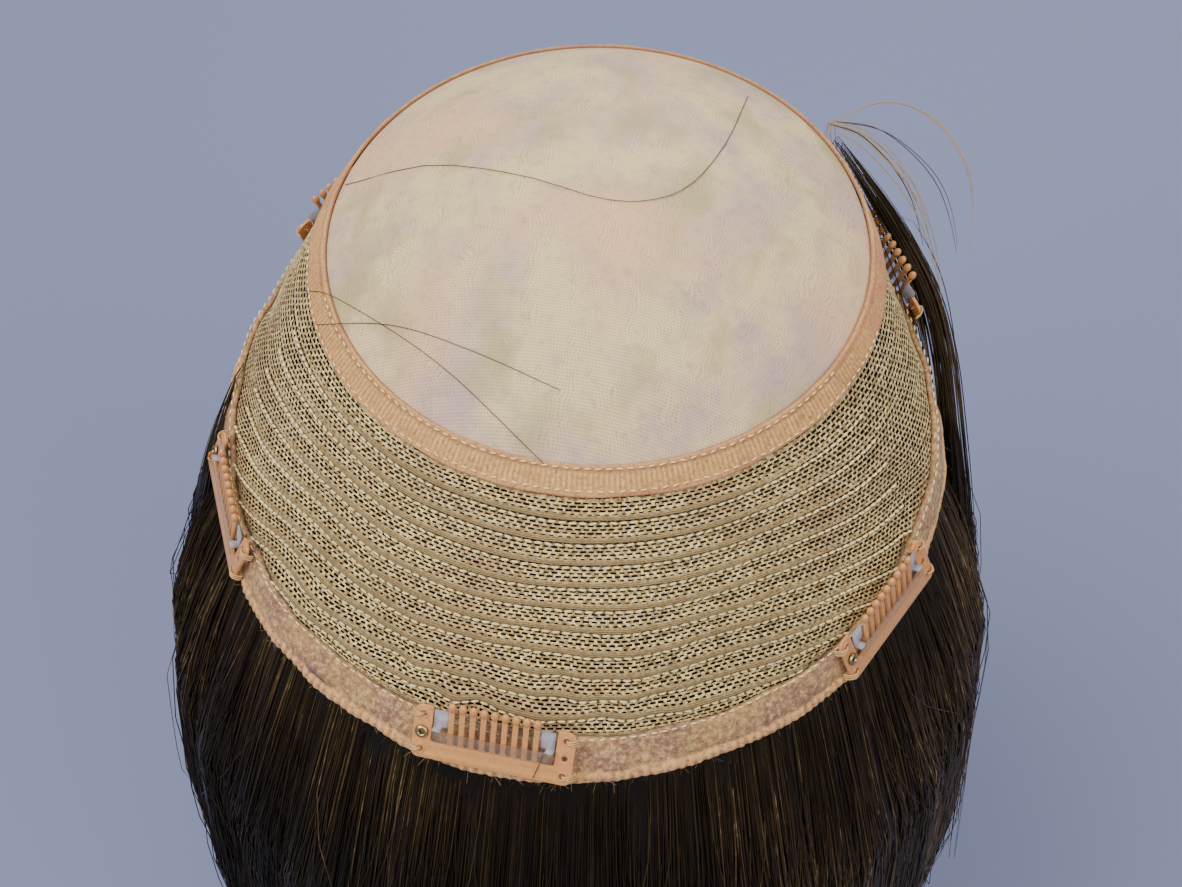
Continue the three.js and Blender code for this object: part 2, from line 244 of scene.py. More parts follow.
# Where single hairs lie over the silk, in pixels of the photograph
STRAY_HAIRS = {
    "across_crown": [
        (345, 185), (430, 165), (520, 175), (600, 198), (650, 200), (690, 185), (725, 145), (748, 96)
    ],
    "left_to_middle": [(303, 290), (340, 300), (440, 365), (545, 465)],
    "left_low": [(303, 325), (390, 325), (470, 350), (560, 390)],
    "over_comb": [(557, 727), (546, 750), (532, 780)],
}

# Loose hair beside the cap: its path in pixels of the photograph, how many hairs, how far they
# spread in pixels, their tone and their radius
WISPS = {
    "loop": (
        [(830, 123), (885, 101), (935, 118), (966, 160), (975, 205), (969, 255), (953, 300)],
        2, 1.5, 0.9, 0.17 * MM,
    ),
    "pale": ([(830, 124), (872, 140), (918, 190), (940, 250), (949, 310)], 9, 9.0, 0.85, 0.11 * MM),
    "dark": (
        [
            (836, 138), (868, 184), (900, 236), (926, 290), (941, 350), (949, 420), (957, 510),
            (962, 620), (958, 740), (945, 860),
        ],
        110, 8.0, 0.5, 0.16 * MM,
    ),
    "left": (
        [
            (238, 372), (224, 415), (212, 462), (203, 515), (198, 570), (196, 630), (200, 690),
            (212, 780), (226, 860),
        ],
        80, 5.0, 0.42, 0.16 * MM,
    ),
}
# How near to the camera and how far from it the loose hair can lie, and the angles between which it
# is rooted, in degrees
WISP_DEPTHS = (380 * MM, 640 * MM)
WISP_ROOTS = {"right": (118, 140), "left": (-100, -84)}


def smooth(value, low, high):
    """0 below low and 1 above high, with a smooth step between them; low may be the larger."""
    share = np.clip((value - low) / (high - low), 0, 1)
    return share * share * (3 - 2 * share)


def wander(points, size, seed, waves=7):
    """Smooth random waves of about that size through space, from about -1 to 1."""
    rng = np.random.default_rng(seed)
    total = np.zeros(points.shape[:-1])
    for _ in range(waves):
        direction = rng.normal(size=3)
        direction *= TURN / (size * rng.uniform(0.7, 1.6) * np.linalg.norm(direction))
        total += np.sin(points @ direction + rng.uniform(0, TURN))
    return total / math.sqrt(waves)


def between_points(before, start, end, after, step):
    """A smooth curve's points between start and end, with the points on either side of them."""
    curve = (
        2 * start
        + (end - before) * step
        + (2 * before - 5 * start + 4 * end - after) * step**2
        + (3 * start - before - 3 * end + after) * step**3
    )
    return curve / 2


def off_centre(angle):
    """How far an angle is from the centre back, either way round."""
    return np.abs(np.angle(np.exp(1j * np.asarray(angle))))


def skirt_shares(angle):
    """The flare, drop and belly shares at each angle, on a smooth even curve through the table."""
    last = len(SKIRT) - 1
    place = np.minimum(np.arccos(np.clip(np.cos(angle), -1, 1)) / SKIRT_STEP, last - 1e-9)
    row = np.floor(place).astype(int)
    step = (place - row)[..., None]
    rows = np.stack([row - 1, row, row + 1, row + 2])
    rows = np.where(rows < 0, -rows, np.where(rows > last, 2 * last - rows, rows))
    return between_points(*SKIRT[rows], step)


def skirt_length(angle):
    """How far the skirt runs from the silk's edge to the hem, straight."""
    shares = skirt_shares(np.asarray(angle, float))
    return np.hypot(FLARE_OUT * shares[..., 0], FLARE_DROP * shares[..., 1])


def hem_tape_top(angle):
    """Where the hem tape's upper edge lies along the skirt."""
    return np.maximum(skirt_length(angle) - HEM_TAPE_WIDTH, RING_TAPE_WIDTH + 2 * SEAM_GAP)


def cap_section(angle, along):
    """Radius, height and the outward direction's two parts on the cap's outer face."""
    shares = skirt_shares(angle)
    out = FLARE_OUT * shares[..., 0]
    drop = FLARE_DROP * shares[..., 1]
    bow = 2 * FLARE_BELLY * shares[..., 2]
    lean = CROWN_LEAN * np.cos(angle)
    edge = np.stack([np.full_like(out, CROWN_RADIUS), CROWN_TOP - CROWN_RISE - lean], axis=-1)
    middle = edge + np.stack([out / 2 + drop * bow, out * bow - drop / 2], axis=-1)
    hem = edge + np.stack([out, -drop], axis=-1)
    t = (along / np.hypot(out, drop))[..., None]
    at = (1 - t) ** 2 * edge + 2 * t * (1 - t) * middle + t**2 * hem
    run = (1 - t) * (middle - edge) + t * (hem - middle)
    outward = np.stack([-run[..., 1], run[..., 0]], axis=-1)

    share = np.maximum(1 + along / CROWN_RADIUS, 0)
    height = CROWN_TOP - CROWN_RISE * share**CROWN_FULLNESS - lean * share**2
    slope = -CROWN_FULLNESS * CROWN_RISE * share ** (CROWN_FULLNESS - 1) - 2 * lean * share
    dome_at = np.stack([CROWN_RADIUS * share, height], axis=-1)
    dome_outward = np.stack([-slope, np.full_like(slope, CROWN_RADIUS)], axis=-1)

    on_dome = (along < 0)[..., None]
    at = np.where(on_dome, dome_at, at)
    outward = np.where(on_dome, dome_outward, outward)
    return at, outward / np.linalg.norm(outward, axis=-1, keepdims=True)


def turned(angle, section):
    """Puts radius and height pairs round the cap's axis."""
    radius = section[..., 0]
    return np.stack([radius * np.sin(angle), -radius * np.cos(angle), section[..., 1]], axis=-1)


def cap_point(angle, along, lift=0.0):
    """Points on the cap: their angle, distance along it and lift, as arrays of any one shape."""
    angle, along, lift = np.broadcast_arrays(*(np.asarray(x, float) for x in (angle, along, lift)))
    at, outward = cap_section(angle, along)
    return turned(angle, at + outward * lift[..., None])


def cap_outward(angle, along):
    """The cap's outward directions at those places."""
    angle, along = np.broadcast_arrays(np.asarray(angle, float), np.asarray(along, float))
    return turned(angle, cap_section(angle, along)[1])


def comb_near(angle):
    """1 where a comb lies over the hem, 0 well clear of it."""
    hem = np.linalg.norm(cap_point(angle, skirt_length(angle))[..., :2], axis=-1)
    near = np.zeros_like(hem)
    for degrees in COMB_ANGLES.values():
        away = off_centre(angle - math.radians(degrees)) * hem
        near = np.maximum(near, smooth(away, COMB_LENGTH * 0.85, COMB_LENGTH * 0.55))
    return near


def slack(angle, along):
    """The soft waves of the skirt's cloth, none at the silk and only inwards under a comb."""
    angle, along = np.broadcast_arrays(np.asarray(angle, float), np.asarray(along, float))
    points = cap_point(angle, along)
    depth = smooth(along, 4 * MM, 45 * MM)
    waves = 0.75 * MM * wander(points, 34 * MM, 11) + 0.3 * MM * wander(points, 13 * MM, 12)
    waves = np.where(waves > 0, waves * (1 - comb_near(angle)), np.maximum(waves, -0.8 * MM))
    return depth * waves


# Node trees, meshes and finishes


def add_node(tree, kind, inputs=None, **properties):
    """Adds a node, sets its properties, and sets or links its inputs by name or number."""
    node = tree.nodes.new(kind)
    for key, value in properties.items():
        setattr(node, key, value)
    for key, value in (inputs or {}).items():
        if isinstance(value, bpy.types.NodeSocket):
            tree.links.new(value, node.inputs[key])
        else:
            node.inputs[key].default_value = value
    return node


def add_step(tree, kind, inputs=None, **properties):
    """A geometry node's first result."""
    return add_node(tree, f"GeometryNode{kind}", inputs, **properties).outputs[0]


def add_function(tree, kind, inputs, **properties):
    """A function node's first result."""
    return add_node(tree, f"FunctionNode{kind}", inputs, **properties).outputs[0]


def add_math(tree, operation, *values):
    """A Math node's result."""
    kind = "ShaderNodeMath"
    return add_node(tree, kind, dict(enumerate(values)), operation=operation).outputs[0]


def add_mix(tree, factor, first, second):
    """Two colours mixed by a factor."""
    inputs = {0: factor, 6: first, 7: second}
    return add_node(tree, "ShaderNodeMix", inputs, data_type="RGBA").outputs[2]


def add_ramp(tree, factor, stops):
    """A colour ramp through stops of (place, colour)."""
    node = add_node(tree, "ShaderNodeValToRGB", {0: factor})
    elements = node.color_ramp.elements
    while len(elements) < len(stops):
        elements.new(0.5)
    for element, (place, colour) in zip(elements, stops):
        element.position = place
        element.color = opaque(colour)
    return node.outputs[0]


def opaque(colour, shade=1.0):
    """A colour with full opacity, made darker or lighter by a factor."""
    return (*(channel * shade for channel in tuple(colour)[:3]), 1.0)


class Finish:
    """A material being built on one Principled shader, with its patterns on object coordinates."""

    def __init__(self, name, base, **sockets):
        self.base = opaque(base)
        self.material = bpy.data.materials.new(name)
        self.material.use_nodes = True
        self.tree = self.material.node_tree
        self.shader = self.tree.nodes["Principled BSDF"]
        self.place = add_node(self.tree, "ShaderNodeTexCoord").outputs["Object"]
        self.height = None
        for key, value in sockets.items():
            socket = key.replace("_", " ").title().replace("Ior", "IOR")
            self.shader.inputs[socket].default_value = value

    def noise(self, size, detail=2.0, roughness=0.5, stretch=None):
        """Cloudy noise with features of about that size, from 0 to 1."""
        inputs = {"Vector": self.place, "Detail": detail, "Roughness": roughness}
        if stretch:
            mapping = add_node(self.tree, "ShaderNodeMapping", {"Vector": self.place, "Scale": stretch})
            inputs["Vector"] = mapping.outputs[0]
        inputs["Scale"] = 1 / size
        return add_node(self.tree, "ShaderNodeTexNoise", inputs).outputs["Fac"]

    def knit(self, size):
        """Staggered specks of a fine knit, seen from above, from -1 to 1."""
        bend = add_math(self.tree, "MULTIPLY", self.noise(size * 12, 2.0), size * 9)
        parts = add_node(self.tree, "ShaderNodeSeparateXYZ", {0: self.place}).outputs
        waves = []
        for operation in ("ADD", "SUBTRACT"):
            across = add_math(self.tree, operation, parts[0], parts[1])
            bent = add_math(self.tree, "ADD", across, bend)
            turns = add_math(self.tree, "MULTIPLY", bent, math.pi * math.sqrt(2) / size)
            waves.append(add_math(self.tree, "SINE", turns))
        return add_math(self.tree, "MULTIPLY", *waves)

    def attribute(self, name):
        """A number that the mesh carries."""
        return add_node(self.tree, "ShaderNodeAttribute", attribute_name=name).outputs["Fac"]

    def between(self, factor, low, high):
        """The factor's range from low to high, stretched to 0 to 1."""
        inputs = {"Value": factor, "From Min": low, "From Max": high}
        return add_node(self.tree, "ShaderNodeMapRange", inputs).outputs[0]

    def layer(self, factor, colour, share=None):
        """Lays a colour over the base by a factor, or by a share of it."""
        if share:
            factor = add_math(self.tree, "MULTIPLY", factor, share)
        if not isinstance(colour, bpy.types.NodeSocket):
            colour = opaque(colour)
        self.base = add_mix(self.tree, factor, self.base, colour)

    def patches(self, size, detail, low, high, colour, share=None, **look):
        """Lays a colour over the base in cloudy patches of about that size."""
        self.layer(self.between(self.noise(size, detail, **look), low, high), colour, share)

    def bump(self, height, distance, strength=1.0):
        """Adds relief of that height; a second call lies over the first."""
        inputs = {"Height": height, "Distance": distance, "Strength": strength}
        if self.height:
            inputs["Normal"] = self.height
        self.height = add_node(self.tree, "ShaderNodeBump", inputs).outputs[0]
        self.tree.links.new(self.height, self.shader.inputs["Normal"])

    def done(self):
        """The finished material."""
        self.tree.links.new(self.base, self.shader.inputs["Base Color"])
        return self.material


def new_tree(name, sockets):
    """A geometry tree with a geometry input, the named sockets, and a geometry output."""
    tree = bpy.data.node_groups.new(name, "GeometryNodeTree")
    tree.interface.new_socket("Geometry", in_out="INPUT", socket_type="NodeSocketGeometry")
    for socket, kind in sockets.items():
        tree.interface.new_socket(socket, in_out="INPUT", socket_type=f"NodeSocket{kind}")
    tree.interface.new_socket("Geometry", in_out="OUTPUT", socket_type="NodeSocketGeometry")
    return tree, tree.nodes.new("NodeGroupInput").outputs


def named_value(tree, name, kind="FLOAT"):
    """An attribute of the geometry, as a field."""
    return add_step(tree, "InputNamedAttribute", {"Name": name}, data_type=kind)


def end_tree(tree, geometry, material):
    """Ends a tree in realised instances with their material."""
    real = add_step(tree, "RealizeInstances", {0: geometry})
    soft = add_step(tree, "SetShadeSmooth", {0: real})
    done = add_step(tree, "SetMaterial", {"Geometry": soft, "Material": material})
    add_node(tree, "NodeGroupOutput", {0: done})


def tube_tree():
    """Turns each line of a mesh into a thin closed tube of the thickness that its points carry."""
    tree, given = new_tree("thin_tubes", {"Sides": "Int", "Material": "Material"})
    line = add_step(tree, "MeshToCurve", {0: given["Geometry"]})
    sizes = {"Resolution": given["Sides"], "Radius": 1.0}
    circle = add_step(tree, "CurvePrimitiveCircle", sizes)
    parts = {"Curve": line, "Profile Curve": circle, "Scale": named_value(tree, "thickness")}
    tube = add_step(tree, "CurveToMesh", {**parts, "Fill Caps": True})
    end_tree(tree, tube, given["Material"])
    return tree


def stitch_tree():
    """Lays stitches of one length along the lines of a mesh, flat on the cloth below them."""
    sizes = {"Pitch": "Float", "Length": "Float", "Width": "Float", "Skew": "Float"}
    tree, given = new_tree("stitches", {**sizes, "Seed": "Int", "Material": "Material"})
    line = add_step(tree, "MeshToCurve", {0: given["Geometry"]})
    spacing = {"Curve": line, "Length": given["Pitch"]}
    points = add_step(tree, "ResampleCurve", spacing, mode="LENGTH")
    bead = add_step(tree, "MeshUVSphere", {"Segments": 6, "Rings": 4, "Radius": 0.5})
    shape = {0: given["Length"], 1: given["Width"], 2: given["Width"]}
    scale = add_node(tree, "ShaderNodeCombineXYZ", shape).outputs[0]
    thread = add_step(tree, "Transform", {"Geometry": bead, "Scale": scale})
    axes = {
        "Primary Axis": named_value(tree, "outward", "FLOAT_VECTOR"),
        "Secondary Axis": add_step(tree, "InputTangent"),
    }
    facing = add_function(tree, "AxesToRotation", axes, primary_axis="Z", secondary_axis="X")
    least = add_math(tree, "MULTIPLY", given["Skew"], -1.0)
    limits = {2: least, 3: given["Skew"], "Seed": given["Seed"]}
    skew = add_node(tree, "FunctionNodeRandomValue", limits, data_type="FLOAT").outputs[1]
    turn = add_function(tree, "AxisAngleToRotation", {"Axis": (0.0, 0.0, 1.0), "Angle": skew})
    turns = {"Rotation": facing, "Rotate By": turn}
    rotation = add_function(tree, "RotateRotation", turns, rotation_space="LOCAL")
    places = {"Points": points, "Instance": thread, "Rotation": rotation}
    end_tree(tree, add_step(tree, "InstanceOnPoints", places), given["Material"])
    return tree


def net_tree():
    """Opens a hole in each face of a lattice, as wide and as high as shares of the face."""
    sizes = {"Hole Width": "Float", "Hole Height": "Float", "Thread Depth": "Float"}
    tree, given = new_tree("net_holes", {**sizes, "Material": "Material"})
    open_share = named_value(tree, "open")
    holed = add_function(tree, "Compare", {0: open_share, 1: 0.05}, operation="GREATER_THAN")
    faces = {"Mesh": given["Geometry"], "Selection": holed, "Offset Scale": 0.0, "Individual": True}
    inset = add_node(tree, "GeometryNodeExtrudeMesh", faces, mode="FACES")
    shape, hole = inset.outputs["Mesh"], inset.outputs["Top"]
    for size, axis in (("Hole Width", "round_axis"), ("Hole Height", "down_axis")):
        share = add_math(tree, "MULTIPLY", given[size], open_share)
        way = named_value(tree, axis, "FLOAT_VECTOR")
        holes = {"Geometry": shape, "Selection": hole, "Scale": share, "Axis": way}
        shape = add_step(tree, "ScaleElements", holes, domain="FACE", scale_mode="SINGLE_AXIS")
    inwards = add_math(tree, "MULTIPLY", given["Thread Depth"], -1.0)
    normal = {0: add_step(tree, "InputNormal"), "Scale": inwards}
    sunk = add_node(tree, "ShaderNodeVectorMath", normal, operation="SCALE").outputs[0]
    moved = {"Geometry": shape, "Selection": hole, "Offset": sunk}
    holes = {"Geometry": add_step(tree, "SetPosition", moved), "Selection": hole}
    shape = add_step(tree, "DeleteGeometry", holes, domain="FACE", mode="ALL")
    end_tree(tree, shape, given["Material"])
    return tree


def shown(name, mesh, material=None):
    """Links a mesh as a piece at the origin."""
    piece = bpy.data.objects.new(name, mesh)
    bpy.context.scene.collection.objects.link(piece)
    if material:
        mesh.materials.clear()
        mesh.materials.append(material)
    for polygon in mesh.polygons:
        polygon.use_smooth = True
    return piece


def realised(name, mesh, tree, **inputs):
    """The result of a geometry tree on a mesh, as a plain piece."""
    piece = shown(name, mesh)
    modifier = piece.modifiers.new(tree.name, "NODES")
    modifier.node_group = tree
    values = {key.replace("_", " ").title(): value for key, value in inputs.items()}
    for item in tree.interface.items_tree:
        if item.in_out == "INPUT" and item.name in values:
            modifier[item.identifier] = values[item.name]
    graph = bpy.context.evaluated_depsgraph_get()
    result = bpy.data.meshes.new_from_object(piece.evaluated_get(graph))
    piece.modifiers.remove(modifier)
    piece.data = result
    if not result.polygons:
        raise RuntimeError(f"{name} came out empty")
    return piece


def store(mesh, name, values, kind="FLOAT", domain="POINT"):
    """Writes an attribute on a mesh."""
    field = "vector" if kind == "FLOAT_VECTOR" else "value"
    attribute = mesh.attributes.new(name, kind, domain)
    attribute.data.foreach_set(field, np.asarray(values, np.float32).ravel())


def line_mesh(name, lines, **attributes):
    """A mesh of open lines, an array of (line, point, 3), with attributes of (line, point)."""
    count, steps = lines.shape[:2]
    mesh = bpy.data.meshes.new(name)
    starts = (np.arange(count)[:, None] * steps + np.arange(steps - 1)).ravel()
    mesh.vertices.add(count * steps)
    mesh.vertices.foreach_set("co", lines.astype(np.float32).ravel())
    mesh.edges.add(len(starts))
    mesh.edges.foreach_set("vertices", np.stack([starts, starts + 1], axis=-1).ravel())
    for key, values in attributes.items():
        kind = "FLOAT_VECTOR" if values.ndim == 3 else "FLOAT"
        store(mesh, key, values, kind)
    mesh.update()
    return mesh


def grid_mesh(name, points, all_round=True, **attributes):
    """A mesh of (column, row, 3) points whose rows close, and whose columns do where all_round says.
    Its faces point outwards where the columns turn with the angle and the rows run from the crown."""
    columns, rows = points.shape[:2]
    made = columns if all_round else columns - 1
    column, row = np.meshgrid(np.arange(made), np.arange(rows), indexing="ij")
    after, below = (column + 1) % columns, (row + 1) % rows
    corners = [(column, row), (column, below), (after, below), (after, row)]
    faces = np.stack([across * rows + down for across, down in corners], axis=-1)
    mesh = bpy.data.meshes.new(name)
    mesh.from_pydata(points.reshape(-1, 3).tolist(), [], faces.reshape(-1, 4).tolist())
    for key, values in attributes.items():
        store(mesh, key, np.broadcast_to(values, (columns, rows)))
    return mesh


@contextmanager
def edited(mesh):
    """Opens a mesh for editing, and writes it back at the end."""
    work = bmesh.new()
    work.from_mesh(mesh)
    yield work
    work.to_mesh(mesh)
    work.free()


def merged(mesh, distance=0.01 * MM):
    """Merges a mesh's doubles and points its faces outwards."""
    with edited(mesh) as work:
        bmesh.ops.remove_doubles(work, verts=work.verts, dist=distance)
        bmesh.ops.dissolve_degenerate(work, edges=work.edges, dist=distance / 10)
        bmesh.ops.recalc_face_normals(work, faces=work.faces)
    return mesh


def curve_through(points, steps):
    """A smooth line through a few points, with steps points between each two."""
    points = np.asarray(points, float)
    padded = np.concatenate([2 * points[:1] - points[1:2], points, 2 * points[-1:] - points[-2:-1]])
    t = np.linspace(0, 1, steps, endpoint=False)[:, None]
    parts = []
    for four in zip(padded, padded[1:], padded[2:], padded[3:]):
        parts.append(between_points(*four, t))
    return np.concatenate([*parts, points[-1:]])


def dress(piece, slot, *nodes):
    """Lets a piece ride with the cap and hides the model's nodes that it stands for; slot is not used.
    """
    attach(piece, "root")
    if nodes:
        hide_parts(*nodes)
    return piece


# The finishes


def silk_finish(settings):
    """Pale silk of a fine knit, mottled cream, lavender and pink."""
    finish = Finish(
        "silk_knit", settings.colour, roughness=0.62, sheen_weight=0.1, sheen_roughness=0.5
    )
    finish.patches(21 * MM, 4.0, 0.42, 0.6, SILK_PINK, roughness=0.6)
    finish.patches(15 * MM, 3.0, 0.5, 0.66, SILK_OLIVE, stretch=(1.2, 0.8, 1.0))
    finish.patches(42 * MM, 1.5, 0.5, 0.68, SILK_PEACH, stretch=(1.0, 1.3, 0.8))
    knit = finish.knit(settings.knit_size)
    finish.layer(finish.between(knit, 0.0, 0.9), SILK_GAPS, 0.75)
    finish.patches(2.2 * MM, 3.0, 0.5, 0.68, SILK_GRAIN, 0.4, roughness=0.7)
    finish.bump(finish.noise(settings.knit_size * 3, 2.0), 0.4 * MM, 0.6)
    finish.bump(knit, 0.3 * MM, -0.7)
    return finish.done()


def tape_finish(settings):
    """Peach-tan woven tape with raised cross ribs and a felted nap; the rib crests carry a painted
    highlight, the ground between them painted shade, and the seam line a painted shadow.
    """
    finish = Finish(
        "woven_tape", settings.colour, roughness=0.85, sheen_weight=0.08, sheen_roughness=0.4
    )
    finish.patches(9 * MM, 2.0, 0.42, 0.62, TAPE_ROSE)
    # Painted shade: the ribbed middle is laid darker, so that the ground between the crests reads as
    # shaded
    finish.layer(finish.attribute("middle"), TAPE_GROOVE_SHADE)
    # Painted highlight: the rib crests are laid paler
    finish.layer(finish.attribute("rib"), TAPE_RIB_HIGHLIGHT, 0.9)
    nap = finish.noise(0.7 * MM, 4.0, 0.7)
    finish.layer(finish.between(nap, 0.52, 0.34), TAPE_NAP, 0.75)
    # Painted shadow in the seam's groove, and painted shade on the tape's walls and underside
    finish.layer(finish.attribute("seam"), TAPE_SEAM_SHADOW)
    finish.bump(nap, 0.22 * MM, 0.8)
    return finish.done()


def hem_finish(settings):
    """Dusty velvet tape with a paler folded edge."""
    finish = Finish(
        "velvet_tape", settings.hem_colour, roughness=0.95, sheen_weight=0.15, sheen_roughness=0.35
    )
    finish.patches(9 * MM, 3.0, 0.42, 0.62, HEM_MAUVE)
    nap = finish.noise(1.1 * MM, 4.0, 0.75)
    finish.layer(finish.between(nap, 0.5, 0.66), HEM_LINT, 0.85)
    finish.layer(finish.attribute("fold"), opaque(settings.colour, 1.1))
    finish.layer(finish.between(nap, 0.48, 0.36), HEM_NAP, 0.7)
    finish.bump(nap, 0.3 * MM, 0.9)
    return finish.done()


def net_finish(settings):
    """Khaki-beige thread with pale highlights, duller and finely lined on the folds, which carry
    painted shade.
    """
    finish = Finish("net_thread", settings.colour, roughness=0.78, sheen_weight=0.05)
    tree = finish.tree
    twist = finish.noise(0.8 * MM, 4.0, 0.65)
    finish.layer(finish.between(twist, 0.43, 0.58), NET_PALE)
    finish.patches(26 * MM, 2.0, 0.48, 0.64, NET_DULL, 0.55)
    # Painted shade: the folds and the row tucked under each fold are laid darker, with fine thread
    # lines over them
    folds = add_math(tree, "MULTIPLY", finish.attribute("crease"), 0.9)
    down = add_math(tree, "MULTIPLY", finish.attribute("down"), TURN / settings.dense_pitch)
    bent = add_math(tree, "ADD", down, add_math(tree, "MULTIPLY", finish.noise(3 * MM, 2.0), 9.0))
    lines = add_math(tree, "SINE", bent)
    dark, pale = opaque(FOLD_SHADED_THREAD), opaque(FOLD_PALE)
    finish.layer(folds, add_mix(tree, finish.between(lines, -0.8, 1.0), dark, pale))
    finish.bump(twist, 0.2 * MM, 0.7)
    finish.bump(add_math(tree, "MULTIPLY", lines, folds), 0.15 * MM, 0.8)
    return finish.done()


def thread_finish(name, colour):
    """Twisted sewing thread."""
    finish = Finish(name, opaque(colour, 0.72), roughness=0.6, sheen_weight=0.2)
    twist = finish.noise(0.3 * MM, 2.0)
    finish.layer(twist, opaque(colour, 1.2))
    finish.bump(twist, 0.1 * MM, 0.6)
    return finish.done()


def lacquer_finish(settings):
    """Beige lacquer on sprung steel, a little uneven."""
    finish = Finish(
        "beige_lacquer", settings.lacquer, roughness=0.34, coat_weight=0.5, coat_roughness=0.12
    )
    speckle = finish.noise(0.8 * MM, 3.0)
    finish.layer(finish.between(speckle, 0.35, 0.7), opaque(settings.lacquer, 0.82))
    finish.patches(9 * MM, 1.0, 0.4, 0.65, LACQUER_DEEP, 0.4)
    finish.bump(speckle, 0.05 * MM, 0.5)
    return finish.done()


def film_finish(settings):
    """Milky silicone film, with its clearer woven part between two cloudy ends."""
    finish = Finish(
        "silicone_film", FILM_CLEAR, roughness=0.3, ior=1.41, coat_weight=0.3, coat_roughness=0.15
    )
    tree = finish.tree
    cloud = finish.between(finish.noise(2.2 * MM, 2.0), 0.35, 0.7)
    milky = add_mix(tree, cloud, opaque(settings.film), opaque(settings.film, 0.8))
    end = finish.between(add_math(tree, "ABSOLUTE", finish.attribute("flat_x")), 8.9, 9.4)
    upper = finish.between(finish.attribute("flat_y"), 6.4, 6.6)
    square = add_math(tree, "MULTIPLY", end, upper)
    finish.layer(square, milky)
    cover = add_math(tree, "MULTIPLY_ADD", square, 0.6, 0.18)
    tree.links.new(cover, finish.shader.inputs["Alpha"])
    return finish.done()


def brass_finish():
    """Aged brass with darker hollows."""
    finish = Finish("aged_brass", BRASS_PALE, metallic=1.0, roughness=0.3)
    finish.patches(0.9 * MM, 3.0, 0.35, 0.65, BRASS_DARK)
    return finish.done()


def hair_finish(name, settings, shade=1.0):
    """Glossy dark hair whose strands run from near black to gold, by the tone that they carry; a shade
    below 1 darkens all of it, as painted shade.
    """
    colours = {
        "root": settings.root_colour,
        "brown": settings.brown_colour,
        "gold": settings.gold_colour,
    }
    stops = [
        (place, [part * strength * shade for part in colours[key]])
        for place, key, strength in HAIR_RAMP
    ]
    finish = Finish(
        name, stops[0][1], roughness=0.4, specular_ior_level=0.28, specular_tint=HAIR_GLOSS
    )
    streak = finish.noise(1.4 * MM, 2.0, stretch=(1.0, 1.0, 0.06))
    streaks = add_math(finish.tree, "MULTIPLY", streak, 0.25)
    mixed = add_math(finish.tree, "ADD", finish.attribute("tone"), streaks)
    finish.base = add_ramp(finish.tree, mixed, stops)
    return finish.done()


# The cloth pieces


def make_silk(settings):
    """The silk crown, a soft dome with an even wall and a flange under the ring tape."""
    columns, rings = 176, 44
    angle = np.linspace(0, TURN, columns, endpoint=False)[:, None]
    dome = -CROWN_RADIUS * (1 - np.linspace(0, 1, rings) ** 0.9)
    outer = np.concatenate([dome, [SILK_FLANGE / 2, SILK_FLANGE]])
    along = np.concatenate([outer, outer[::-1]])[None, :]
    inside = np.arange(along.size) >= outer.size
    flat = cap_point(angle, along)
    free = smooth(along, -2 * MM, -12 * MM)
    soft = free * (0.28 * MM * wander(flat, 30 * MM, 3) + 0.1 * MM * wander(flat, 9 * MM, 4))
    lift = soft - np.where(inside, SILK_WALL, 0.0)
    mesh = merged(grid_mesh("silk_crown", cap_point(angle, along, lift)))
    return dress(shown("silk_crown", mesh, silk_finish(settings)), "silk", "silk_top")


def rounded_edge(start, end, top, bottom, radius, rows):
    """Corners of a strip's section with its two upper edges rounded: along and lift."""
    across = np.linspace(start + radius, end - radius, rows)
    along = np.concatenate([[start, start, start + 0.3 * radius], across])
    lift = np.concatenate([[bottom, top - radius, top - 0.3 * radius], np.full(rows, top)])
    along = np.concatenate([along, [end - 0.3 * radius, end, end]])
    lift = np.concatenate([lift, [top - 0.3 * radius, top - radius, bottom]])
    return along, lift


def rib_wave(angle, radius, pitch):
    """A wave that rises once for each rib, with a whole number of ribs round the cap."""
    count = round(TURN * radius / pitch)
    return 0.5 + 0.5 * np.cos(count * angle)


